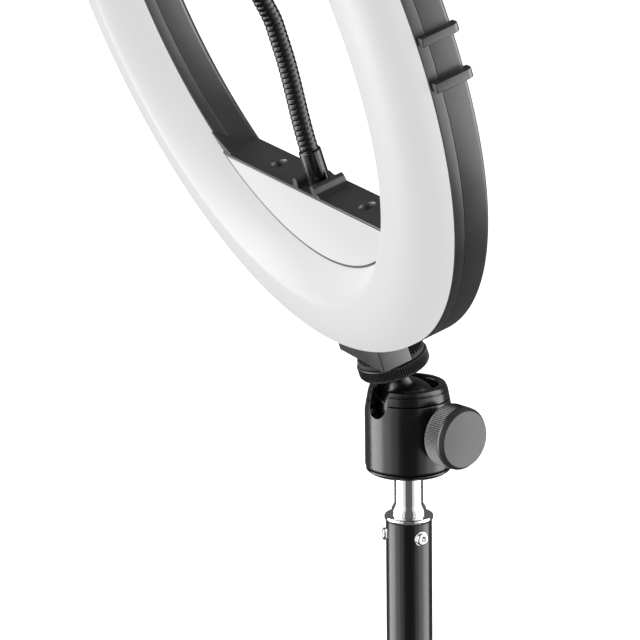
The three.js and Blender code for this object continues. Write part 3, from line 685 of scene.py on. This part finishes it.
def dome(inner_span, outer_span, height, base, steps):
    """A lopsided dome: a quarter superellipse on each side of the crest, from rim to rim."""
    points = []
    for k in range(2 * steps + 1):
        turn = math.pi * k / (2 * steps)
        power, span = (2.6, outer_span) if k < steps else (1.5, inner_span)
        across = math.copysign(abs(math.cos(turn)) ** (2 / power), math.cos(turn))
        points.append((CREST + span * across, base - height * math.sin(turn) ** (2 / power)))
    return points


def diffuser():
    skin = 1.8
    base = 0.2
    outside = dome(CREST - RING_INNER - 0.1, RING_OUTER - 0.1 - CREST, DOME_HEIGHT + base, base, 30)
    inside = dome(CREST - RING_INNER - skin, RING_OUTER - skin - CREST, DOME_HEIGHT - skin + base, base, 12)
    fine("diffuser", lathe(outside + inside[::-1], 288, "Y"), RING, sharp=math.radians(60))


def front_plate():
    outline = segment(PLATE_RADIUS - PLATE_GAP, SHELF_Z - 1.4)
    fine("front_plate", prism(outline, -0.8, 1.2, "Y", edge=0.35), RING)


def rear_controls():
    pointer = block((-0.4, 0.4), (19.5, 22), (1.8, 5.4))
    for node, x in (("brightness_knob", KNOB_X), ("colour_knob", -KNOB_X)):
        teeth = [(6.2, h) for h in evenly(13.6, 18.8, 6)]
        knob = lathe([(0, 10.8), (3, 10.8), (3, 13), (5.9, 13, 0.3), *teeth, (5.6, 20, 0.6), (0, 20)],
                     216, "Y", knurl(36, 0.3, 6.2, 13.2, 19))
        knob = carved(knob, pointer.copy())
        fine(node, moved(knob, Matrix.Translation((x, 0, CONTROL_Z))), RING)
    pointer.free()
    rocker = block((-6, 6), (10.5, 14.5), (-4.2, 4.2), edge=0.5)
    for vert in rocker.verts:
        if vert.co.y > 13:
            vert.co.y += 0.9 * (abs(vert.co.x) / 6) ** 2 - 0.9
    ridges = [moved(rod(0.25, -2.4, 2.4, "Z"), Matrix.Translation((x, 13.85, 0))) for x in (-1.6, 0, 1.6)]
    rocker = united(rocker, *ridges)
    fine("power_switch", moved(rocker, Matrix.Translation((0, 0, CONTROL_Z))), RING)
    barrel = lathe([(0, 5.8), (4, 5.8), (4, 13.3, 0.4), (3, 13.3, 0.3), (2.8, 7), (0.9, 7), (0.9, 11.6),
                    (0.6, 12), (0, 12)], 64, "Y")
    fine("power_socket", moved(barrel, Matrix.Translation((SOCKET[0], 0, SOCKET[1]))), RING)


def housing_screws():
    for node, x in (("shelf_screw_left", -SHELF_HOLE_X), ("shelf_screw_right", SHELF_HOLE_X)):
        screw = united(screw_head(2.5, -79.7, -78.2, 0.8), rod(0.8, -84, -79.5))
        fine(node, moved(screw, Matrix.Translation((x, SHELF_HOLE_Y, 0))), RING)
    for node, angle in REAR_SCREWS.items():
        screw = moved(united(screw_head(2.6, 13.8, 15.4, 0.8), rod(0.8, 8.5, 14)), AXES["Y"])
        fine(node, moved(screw, post_place(angle)), RING)


# ---------------------------------------------------------------- gooseneck and phone holder

COIL_LOW, COIL_HIGH = -61.3, -1.3
COIL_PITCH = 1.9
COIL_GROOVE = 0.4
COIL_RADIUS = 3.25
COIL_SWAY = 1.9  # how far the resting gooseneck strays from its straight line
BALL_Z = 19
SWIVEL_Z = 32
HOLDER_BACK = -5.6


def smooth(value):
    value = min(max(value, 0), 1)
    return value * value * (3 - 2 * value)


def coil():
    """The gooseneck: flattened wire wound so closely that only narrow grooves show; it sways a little."""
    around, per_turn = 32, 10
    rows = round((COIL_HIGH - COIL_LOW) / COIL_PITCH * per_turn)
    bm = bmesh.new()
    rings = []
    for i in range(rows + 1):
        along = i / rows
        z = COIL_LOW + (COIL_HIGH - COIL_LOW) * along
        sway = COIL_SWAY * smooth(along / 0.6) * smooth((1 - along) / 0.25)
        ring = []
        for k in range(around):
            phase = (z / COIL_PITCH - k / around) % 1
            radius = COIL_RADIUS - COIL_GROOVE * (2 * phase - 1) ** 4
            angle = TURN * k / around
            ring.append(bm.verts.new((radius * math.cos(angle), radius * math.sin(angle) + sway, z)))
        rings.append(ring)
    for low, high in zip(rings, rings[1:]):
        for k in range(around):
            n = (k + 1) % around
            bm.faces.new((low[k], low[n], high[n], high[k]))
    bm.faces.new(rings[0])
    bm.faces.new(rings[-1])
    piece = add("gooseneck_coil", closed_up(bm), NECK, None, look("black_chrome"),
                "gooseneck_lower", "gooseneck_upper", sharp=math.radians(70))
    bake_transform(piece)


def gooseneck_ends():
    ferrule = lathe([(0, -79.5), (2, -79.5), (2, -74.2), (3.85, -74.2, 0.2), (3.85, -61.9, 0.5),
                     (3.3, -61.4, 0.2), (0, -61.4)], 64)
    fine("gooseneck_ferrule", ferrule, NECK)
    collar = lathe([(0, -1), (3.9, -1, 0.4), (4.3, 0.2, 0.4), (4.3, 7.8, 0.5), (3.4, 9, 0.4), (0, 9)], 64)
    fine("gooseneck_collar", collar, NECK)


def phone_holder():
    stem = rod(2, 9.3, BALL_Z, segments=48)
    fine("holder_ball", united(stem, sphere(5.5, (0, 0, BALL_Z))), NECK)
    cup = lathe([(0, 12.5), (8.5, 12.5, 0.4), (8.5, 24, 1), (6, 26.5, 1.4), (0, 26.5)], 96)
    neck = block((-5, 5), (-6.2, 4), (25, 38), edge=1)
    disc = moved(rod(7, -9.2, -6, "Y", 0.6), Matrix.Translation((0, 0, SWIVEL_Z)))
    pin = moved(rod(3, HOLDER_BACK - NECK_Y - 3.7, -9, "Y"), Matrix.Translation((0, 0, SWIVEL_Z)))
    mouth = lathe([(0, 12), (6.3, 12), (4.2, 15), (0, 15)], 64)
    seat = sphere(5.8, (0, 0, BALL_Z))
    slits = [moved(block((0, 10), (-0.5, 0.5), (11, 19)), Matrix.Rotation(TURN * k / 4 + 0.4, 4, "Z"))
             for k in range(4)]
    fine("holder_socket", carved(united(cup, neck, disc, pin), seat, mouth, *slits), NECK)
    teeth = [(9.8, h) for h in evenly(12.6, 17.4, 6)]
    lock_ring = lathe([(8.8, 12, 0.2), (9.5, 12, 0.2), *teeth, (9.5, 18, 0.2), (8.8, 18, 0.2)], 288, "Z",
                      knurl(48, 0.3, 9.8, 12, 18))
    fine("holder_lock_ring", lock_ring, NECK)


def clamp():
    back = HOLDER_BACK
    height = (SWIVEL_Z - 10, SWIVEL_Z + 10)
    bar = block((-34, 18), (back - 8.5, back), height, edge=0.8)
    jaw = block((-34, -30), (back - 30.5, back), height, edge=1.2)
    lip = block((-31, -26), (back - 30.5, back - 27.5), height, edge=0.9)
    slot = block((-28, 20), (back - 7, back - 2.6), (SWIVEL_Z - 7, SWIVEL_Z + 8))
    socket = moved(rod(3.3, back - 4.5, back + 1, "Y"), Matrix.Translation((0, 0, SWIVEL_Z)))
    window = block((-18, 8), (back - 12, back - 6), (SWIVEL_Z - 3.5, SWIVEL_Z + 3.5), edge=1)
    fine("clamp_body", carved(united(bar, jaw, lip), slot, socket, window), RING)
    tongue = block((-20, 31), (back - 6.6, back - 5), (SWIVEL_Z - 6.6, SWIVEL_Z + 2), edge=0.3)
    face = block((30, 34), (back - 30.5, back), height, edge=1.2)
    lip = block((26, 31), (back - 30.5, back - 27.5), height, edge=0.9)
    fine("clamp_jaw", united(tongue, face, lip), RING)
    for node, side in (("clamp_pad_fixed", -1), ("clamp_pad_moving", 1)):
        inner_face = side * 28.2
        x = sorted((inner_face, side * 29.7))
        pad = block(x, (back - 27, back - 9.5), (SWIVEL_Z - 9, SWIVEL_Z + 9), edge=0.4)
        ribs = [moved(rod(0.35, SWIVEL_Z - 8.3, SWIVEL_Z + 8.3), Matrix.Translation((inner_face, y, 0)))
                for y in evenly(back - 25, back - 11.5, 7)]
        fine(node, united(pad, *ribs), RING)


# ---------------------------------------------------------------- ball head, heights from the ball's centre

HEAD_RADIUS = 15
GROOVE = -20.2
NOTCH = math.radians(-75)
KNOB = math.radians(15)
KNOB_DROP = -4.9
KNOB_FRAME = Matrix.Rotation(KNOB, 4, "Z") @ Matrix.Translation((0, 0, KNOB_DROP)) @ AXES["X"]


def notch_tool():
    """A U-shaped slot through one side."""
    half = 4.15
    outline = [*arc(half, 180, 360, 24, (0, 3.3)), (half, 24), (-half, 24)]
    return moved(prism(outline, 6, 20, "X"), Matrix.Rotation(NOTCH, 4, "Z"))


def head_body():
    cup = lathe([
        (8.4, GROOVE + 0.1), (HEAD_RADIUS - 0.25, GROOVE + 0.1, 0.25), (HEAD_RADIUS, GROOVE + 0.8, 0.3),
        (HEAD_RADIUS, 0.1, 6), (14.35, 3.9, 0.25), (12.2, 3.9), (12.2, -14.8), (4, -14.8), (4, GROOVE + 4),
        (8.4, GROOVE + 4)], 192)
    socket = moved(rod(3.4, 6, 20), KNOB_FRAME)
    fine("head_body", carved(cup, notch_tool(), socket), HEAD)


def head_collar():
    ring = lathe([
        (10.4, 4.2), (14.3, 4.2, 0.2), (13.75, 7.0, 0.2), (13.35, 7.15), (13.35, 7.4), (13.6, 7.55, 0.2),
        (12.9, 9.1, 1.0), (11.0, 9.2, 0.5), (10.4, 8.5, 0.3)], 192)
    fine("head_collar", carved(ring, notch_tool()), HEAD)


def head_base_plate():
    r, g = HEAD_RADIUS, GROOVE
    plate = lathe([
        (3.5, g - 1.9), (r - 1.5, g - 1.9, 0.5), (r - 0.3, g - 1.0, 0.6), (r - 0.3, g - 0.25, 0.2),
        (r - 1.2, g - 0.2), (8, g - 0.2), (8, g + 3.7), (3.5, g + 3.7)], 192)
    fine("head_base_plate", plate, HEAD)


def ball_stud():
    neck = lathe([(0, 0), (5, 0), (5, 9.6), (4, 11.8, 1.8), (4, 15.1, 0.3), (3.1, 15.8), (3.1, 32.2, 0.3),
                  (0, 32.2)], 96)
    fine("ball_stud", united(sphere(10.9, around=96, up=48), neck), STUD)


def platform():
    teeth = [(12.5, h) for h in evenly(16.8, 20.0, 5)]
    count = 90
    wheel = lathe([(3.4, 16.1), (12.0, 16.1, 0.3), (12.25, 16.5), *teeth, (12.3, 20.3, 0.1),
                   (11.9, 20.6, 0.15), (3.4, 20.6)], 6 * count, "Z", knurl(count, 0.6, 12.5, 16.7, 20.1))
    fine("platform_wheel", wheel, STUD, sharp=math.radians(50))
    pad = ring_of(11.8, 3.4, 20.9, 22.4, edge=0.3, segments=128)
    dots = []
    for row, radius in enumerate((5.2, 6.7, 8.2, 9.7, 11.1)):
        number = round(TURN * radius / 1.55)
        for k in range(number):
            angle = TURN * (k + 0.5 * (row % 2)) / number
            dot = lathe([(0, 22.3), (0.5, 22.3), (0.42, 22.95), (0, 23.0)], 8)
            spot = (radius * math.cos(angle), radius * math.sin(angle), 0)
            dots.append(moved(dot, Matrix.Translation(spot)))
    fine("platform_pad", merged(pad, *dots), STUD)


def lock_knob():
    teeth = [(10.95, h) for h in evenly(20.5, 26.3, 8)]
    count = 92
    knob = lathe([(1.9, 15.6), (5.5, 15.6), (5.5, 20, 0.3), (10.6, 20, 0.3), *teeth, (10.6, 26.6, 0.1),
                  (10.85, 26.8, 0.15), (10.85, 27.5, 0.4), (9.8, 29, 0.3), (0, 29), (0, 25),
                  (1.9, 25)], 6 * count, "Z", knurl(count, 0.36, 10.95, 20.4, 26.4))
    fine("lock_knob", moved(knob, KNOB_FRAME), HEAD, sharp=math.radians(50))


# ---------------------------------------------------------------- column

COLUMN_TOP = 604
HEAD_GROOVE_Z = 623.8
RIVETS = {"rear": 6, "side": 126, "front": 246}  # the CAD nodes' names, by the turn of each rivet
RIVET_Z = COLUMN_TOP - 5.2


def rivet_place(angle):
    return Matrix.Rotation(math.radians(angle), 4, "Z") @ Matrix.Translation((0, 0, RIVET_Z)) @ AXES["X"]


def spigot():
    top, g = COLUMN_TOP, HEAD_GROOVE_Z
    shaft = lathe([
        (0, top - 14), (6.5, top - 14, 0.5), (6.5, top + 0.25), (8.3, top + 0.25, 0.3), (8.5, top + 0.9, 0.3),
        (8.5, g - 18.2, 0.4), (8.0, g - 17.9, 0.3), (6.1, g - 17.9, 0.2), (6.0, g - 15.7, 0.6),
        (5, g - 13.9, 0.8), (5, g - 2.2), (3.1, g - 2.2), (3.1, g + 3), (0, g + 3)], 128)
    holes = [moved(rod(1.5, 3.5, 9.5), rivet_place(angle)) for angle in RIVETS.values()]
    fine("spigot", carved(shaft, *holes), WORLD)


def rivets():
    for place, angle in RIVETS.items():
        rivet = lathe([(0, 4), (1.2, 4), (1.2, 7.6), (2.6, 7.6), (2.6, 8.0, 0.15), (2.1, 8.05),
                       (2.1, 8.4), (2.25, 8.5, 0.1), (2.1, 9.0, 0.4), (1.5, 9.25, 0.5), (0.85, 9.1, 0.2),
                       (0.7, 8.7, 0.1), (0.6, 8.0, 0.1), (0, 8.0)], 64)
        fine(f"tube_rivet_{place}", moved(rivet, rivet_place(angle)), WORLD)


def tube(node, outer, inner, low, high, holes=()):
    shell = lathe([(inner, low, 0.3), (outer, low, 0.4), (outer, high, 0.4), (inner, high, 0.3)], 128)
    fine(node, carved(shell, *holes) if holes else shell, WORLD)


def box_high(node):
    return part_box(node)[1].z / MM


def box_low(node):
    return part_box(node)[0].z / MM


def tubes():
    holes = [moved(rod(1.5, 5.5, 9.5), rivet_place(angle)) for angle in RIVETS.values()]
    tube("top_tube", 8, 6.8, box_low("top_tube"), box_high("top_tube"), holes)
    tube("mid_tube", 9.5, 8.3, box_low("mid_tube"), box_high("mid_tube"))
    tube("base_tube", 11, 9.8, box_low("base_tube"), box_high("base_tube"))


def tube_collar(node, knob_node, thick, thin):
    """A clamping collar: a ribbed sleeve over the thicker tube, and a boss for the knob's screw."""
    low, high = box_low(node), box_high(node)
    step = low + 8.3
    outer = thick + 4
    sleeve = lathe([
        (thick + 0.3, low, 0.3), (outer - 0.6, low, 0.5), (outer - 0.1, low + 1.4, 0.6), (outer, low + 6),
        (outer, high - 2.2, 1.2), (outer - 1.6, high, 0.8), (thin + 0.3, high, 0.4), (thin + 0.3, step),
        (thick + 0.3, step)], 128)
    z = high - 14
    boss = block((0, outer + 5), (-6, 6), (z - 7, z + 7), edge=1.6, steps=5)
    boss = carved(boss, rod(thick + 1, z - 12, z + 12, segments=96))
    grooves = [ring_of(outer + 1, outer - 0.35, h, h + 0.7, edge=0.1, segments=128)
               for h in (low + 3, low + 5)]
    screw_hole = moved(rod(2.6, 5, outer + 8), Matrix.Translation((0, 0, z)) @ AXES["X"])
    fine(node, carved(united(sleeve, boss), *grooves, screw_hole), WORLD)
    face = thick + 9.3
    knob = grip_knob(thin + 0.3, 2.3, face, face + 14, 10, 7)
    fine(knob_node, moved(knob, Matrix.Translation((0, 0, z)) @ AXES["X"]), WORLD)


def grip_knob(tip, shaft, face, end, radius, lobes):
    """A hand knob: a screw, a hub and a grip with scalloped sides."""

    def scallop(angle, r, height):
        if r < radius - 1.3 or height < face + 3:
            return 0
        return -1.1 * (0.5 + 0.5 * math.cos(angle * lobes)) ** 2

    sides = [(radius, h) for h in evenly(face + 5, end - 1.6, 4)]
    return lathe([
        (0, tip), (shaft, tip), (shaft, face), (radius * 0.6, face, 0.4), (radius * 0.62, face + 2, 0.8),
        (radius - 0.4, face + 4.4, 0.8), *sides, (radius - 0.5, end - 0.5, 0.6),
        (radius - 1.2, end, 0.4), (radius * 0.6, end, 0.4), (radius * 0.52, end - 0.7, 0.5),
        (0, end - 0.7)], 168, "Z", scallop)


def column_cap():
    cap = lathe([(0, 0), (10.2, 0, 0.4), (11, 0.9, 0.4), (11, 4, 0.3), (9.5, 4), (9.5, 12, 0.8), (0, 12)], 96)
    fine("column_cap", cap, WORLD)


# ---------------------------------------------------------------- folding legs

LEG_ANGLES = {"rear": 90, "left": 210, "right": 330}
LEG_LENGTH = 320
SPREAD = 42
PIVOT = 22
HUB_Z = 20
SLIDER_Z = joint("leg_rear_swing")["pos_m"][2] / MM
BRACE_LENGTH = 140
TONGUE = 4.6
FLOOR_Z = box_low("foot_rear")


def swung(tilt, z, angle):
    return (Matrix.Rotation(math.radians(angle), 4, "Z") @ Matrix.Translation((PIVOT, 0, z))
            @ Matrix.Rotation(math.radians(tilt), 4, "Y"))


def lug_sleeve(z, low, high, gap, thickness):
    """A sleeve round the column with a pair of lugs and a riveted pin for each leg or brace."""
    tube_radius = 11
    sleeve = lathe([(tube_radius + 0.3, z + low, 0.3), (15.5, z + low, 0.8), (15.5, z + high, 1.2),
                    (tube_radius + 0.3, z + high, 0.4)], 128)
    parts = []
    for angle in LEG_ANGLES.values():
        turn = Matrix.Rotation(math.radians(angle), 4, "Z")
        for side in (-1, 1):
            y = sorted((side * gap / 2, side * (gap / 2 + thickness)))
            outline = [(tube_radius + 1, z - 5, 0.1), *arc(5, -90, 90, 16, (PIVOT, z)),
                       (tube_radius + 1, z + 5, 0.1)]
            parts.append(moved(prism(outline, y[0], y[1], "Y", edge=0.4), turn))
        reach = gap / 2 + thickness
        pin = lathe([(0, -reach - 0.7), (1.6, -reach - 0.7, 0.5), (2.6, -reach - 0.1), (2, -reach),
                     (2, reach), (2.6, reach + 0.1), (1.6, reach + 0.7, 0.5), (0, reach + 0.7)], 40, "Y")
        parts.append(moved(pin, Matrix.Translation((PIVOT, 0, z)), turn))
    return united(sleeve, *parts)


def leg_hub():
    fine("leg_hub", lug_sleeve(HUB_Z, -9, 9, 6.6, 2.4), WORLD)


def leg_slider():
    z = SLIDER_Z + 14
    turn = Matrix.Rotation(math.radians(30), 4, "Z")
    boss = moved(block((12, 21), (-6, 6), (z - 6, z + 6), edge=1.4, steps=5), turn)
    hole = moved(rod(2.6, 10, 30), turn @ Matrix.Translation((0, 0, z)) @ AXES["X"])
    fine("leg_slider", carved(united(lug_sleeve(SLIDER_Z, -9, 22, TONGUE + 0.8, 3), boss), hole), WORLD)
    knob = grip_knob(11.3, 2.3, 21.3, 33.3, 8, 6)
    fine("leg_lock_knob", moved(knob, turn @ Matrix.Translation((0, 0, z)) @ AXES["X"]), WORLD)


def leg(place, angle):
    radius, bore = 6, 5
    shell = lathe([(bore, -LEG_LENGTH), (radius, -LEG_LENGTH, 0.3), (radius, -12.6, 0.5),
                   (radius - 0.6, -12, 0.3), (bore, -12)], 64)
    plug = rod(bore + 0.2, -24, -12, edge=0.4)
    outline = [(-4.5, -20), *arc(4.5, 180, 0, 20), (4.5, -20)]
    tongue = prism(outline, -TONGUE / 2, TONGUE / 2, "Y", edge=0.4)
    bore_tool = rod(2.3, -5, 5, "Y")
    body = carved(united(shell, plug, tongue), bore_tool)
    fine(f"leg_{place}", body, WORLD @ swung(-SPREAD, SLIDER_Z, angle))


def foot(place, angle):
    end = -LEG_LENGTH - 0.3
    ribs = []
    for h in evenly(end + 7.2, end + 13.2, 4):
        ribs += [(7.9, h - 0.5), (8.3, h - 0.2, 0.2), (8.3, h + 0.3, 0.2), (7.9, h + 0.6)]
    boot = lathe([(0, end - 12), (3.2, end - 11.4, 1), (7, end - 8.6, 2), (9, end - 3, 3),
                  (9, end + 5.4, 1), *ribs, (7.6, end + 16, 0.6), (0, end + 16)], 96)
    bore_tool = rod(6.3, end, end + 20)
    boot = moved(carved(boot, bore_tool), swung(-SPREAD, SLIDER_Z, angle))
    ground = block((-500, 500), (-500, 500), (FLOOR_Z - 60, FLOOR_Z))
    fine(f"foot_{place}", carved(boot, ground), WORLD)


def brace(place, angle):
    """A folded steel channel with rounded ends and a tongue at the hub."""
    start, half, thickness, face, back = 12, 7.6, 1.2, 5, -8
    flanges = []
    for side in (-1, 1):
        y = sorted((side * half, side * (half - thickness)))
        outline = [(back, start), (face, start, 0.8), *arc(face, 0, 130, 18, (0, BRACE_LENGTH)),
                   (back, BRACE_LENGTH - 16, 3)]
        flanges.append(prism(outline, y[0], y[1], "Y", edge=0.3))
    web = block((back, back + thickness), (-half + 0.4, half - 0.4), (start, BRACE_LENGTH - 16), edge=0.3)
    plate = block((back, face), (-half, half), (start, start + 3), edge=0.5)
    tongue = prism([(-4.5, start + 3), *arc(4.5, 180, 360, 20), (4.5, start + 3)], -3, 3, "Y", edge=0.4)
    heads = []
    for side in (-1, 1):
        outward = Matrix.Rotation(-side * math.pi / 2, 4, "X")
        head = lathe([(0, 0), (3.4, 0), (3.2, 0.9, 0.5), (1.6, 1.5, 0.6), (0, 1.6)], 40)
        heads.append(moved(head, Matrix.Translation((0, side * half, BRACE_LENGTH)) @ outward))
    body = carved(united(web, *flanges, plate, tongue, *heads), rod(2.3, -5, 5, "Y"))
    fine(f"brace_{place}", body, WORLD @ swung(SPREAD, HUB_Z, angle))


# ---------------------------------------------------------------- floor, light and camera

FLOOR_DEPTH = FLOOR_Z * MM
CAMERA_AZIMUTH = 64.36
CAMERA_ELEVATION = 15.54
CAMERA_ROLL = -0.66
CAMERA_DISTANCE = 1.585
CAMERA_LENS = 259.4
AIM = ball_centre + Vector((-0.02102, -0.02313, 0.02925))
WORLD_DIFFUSE, WORLD_MIRRORED, WORLD_SEEN = 0.1, 0.13, 1.05  # brightness of the surroundings, by ray
FLOOR_GLOW = 1.1


def view_direction(azimuth, elevation):
    """From the object towards a viewer; azimuth 0 is in front (-Y), positive to the right."""
    a, e = math.radians(azimuth), math.radians(elevation)
    return Vector((math.sin(a) * math.cos(e), -math.cos(a) * math.cos(e), math.sin(e)))


def add_camera():
    data = bpy.data.cameras.new("camera")
    data.lens = CAMERA_LENS
    data.sensor_width = 36
    data.clip_end = 100
    obj = bpy.data.objects.new("camera", data)
    towards = view_direction(CAMERA_AZIMUTH, CAMERA_ELEVATION)
    obj.location = AIM + towards * CAMERA_DISTANCE
    turn = towards.to_track_quat("Z", "Y").to_matrix().to_4x4()
    obj.rotation_euler = (turn @ Matrix.Rotation(math.radians(CAMERA_ROLL), 4, "Z")).to_euler()
    bpy.context.scene.collection.objects.link(obj)
    bpy.context.scene.camera = obj


def softbox(name, azimuth, elevation, distance, width, height, radiance, target):
    data = bpy.data.lights.new(name, "AREA")
    data.shape = "RECTANGLE"
    data.size = width
    data.size_y = height
    data.energy = radiance * math.pi * width * height
    obj = bpy.data.objects.new(name, data)
    towards = view_direction(azimuth, elevation)
    obj.location = target + towards * distance
    obj.rotation_euler = towards.to_track_quat("Z", "Y").to_euler()
    obj.visible_camera = False
    bpy.context.scene.collection.objects.link(obj)


def studio():
    middle = ball_centre + Vector((0, 0, 0.05))
    boxes = {
        # name: azimuth from the camera, half width in degrees, radiance
        "left_key": (-95, 22, 5.2),
        "left_side": (-60, 13, 1.8),
        "left_wrap": (-37, 10, 0.8),
        "right_wrap": (37, 10, 0.75),
        "right_side": (60, 13, 2.0),
        "right_key": (92, 19, 4.4),
    }
    distance, height, elevation = 1.8, 3.2, 6
    for name, (azimuth, half_width, radiance) in boxes.items():
        width = 2 * distance * math.tan(math.radians(half_width))
        softbox(name, CAMERA_AZIMUTH + azimuth, elevation, distance, width, height, radiance, middle)


def world():
    """White behind the object; what the metal mirrors is dimmer, so that its dark stripes show."""
    data = bpy.data.worlds.new("studio")
    data.use_nodes = True
    tree = data.node_tree
    background = tree.nodes["Background"]
    background.inputs["Color"].default_value = (1, 1, 1, 1)
    path = tree.nodes.new("ShaderNodeLightPath")
    strength = WORLD_DIFFUSE
    for ray, value in (("Is Glossy Ray", WORLD_MIRRORED), ("Is Camera Ray", WORLD_SEEN)):
        choice = tree.nodes.new("ShaderNodeMix")
        choice.data_type = "FLOAT"
        choice.inputs[3].default_value = value
        if isinstance(strength, float):
            choice.inputs[2].default_value = strength
        else:
            tree.links.new(strength, choice.inputs[2])
        tree.links.new(path.outputs[ray], choice.inputs[0])
        strength = choice.outputs[0]
    tree.links.new(strength, background.inputs["Strength"])
    bpy.context.scene.world = data


def floor():
    bm = bmesh.new()
    bmesh.ops.create_circle(bm, cap_ends=True, radius=12, segments=96)
    bm.transform(Matrix.Translation((0, 0, FLOOR_DEPTH)))
    mesh = bpy.data.meshes.new("floor")
    bm.to_mesh(mesh)
    bm.free()
    obj = bpy.data.objects.new("floor", mesh)
    obj.visible_glossy = False
    obj.visible_diffuse = False
    obj.visible_shadow = False
    bpy.context.scene.collection.objects.link(obj)
    n = Nodes("pale_floor")
    n.set(n.surface, Base_Color=(0.85, 0.85, 0.85, 1), Roughness=0.9, Emission_Color=(1, 1, 1, 1))
    path = n.add("ShaderNodeLightPath")
    glow = n.add("ShaderNodeMath", operation="MULTIPLY")
    glow.inputs[1].default_value = FLOOR_GLOW
    n.link(path.outputs["Is Camera Ray"], glow.inputs[0])
    n.link(glow.outputs[0], n.surface.inputs["Emission Strength"])
    mesh.materials.append(n.material)


# ---------------------------------------------------------------- everything

dress_cad_nodes()
rear_housing()
front_frame()
diffuser()
front_plate()
rear_controls()
housing_screws()
coil()
gooseneck_ends()
phone_holder()
clamp()
head_body()
head_collar()
head_base_plate()
ball_stud()
platform()
lock_knob()
spigot()
rivets()
tubes()
tube_collar("lower_collar", "lower_collar_knob", 11, 9.5)
tube_collar("upper_collar", "upper_collar_knob", 9.5, 8)
column_cap()
leg_hub()
leg_slider()
for leg_place, leg_angle in LEG_ANGLES.items():
    leg(leg_place, leg_angle)
    foot(leg_place, leg_angle)
    brace(leg_place, leg_angle)
floor()
world()
studio()
add_camera()
bpy.context.scene.view_settings.view_transform = "Standard"
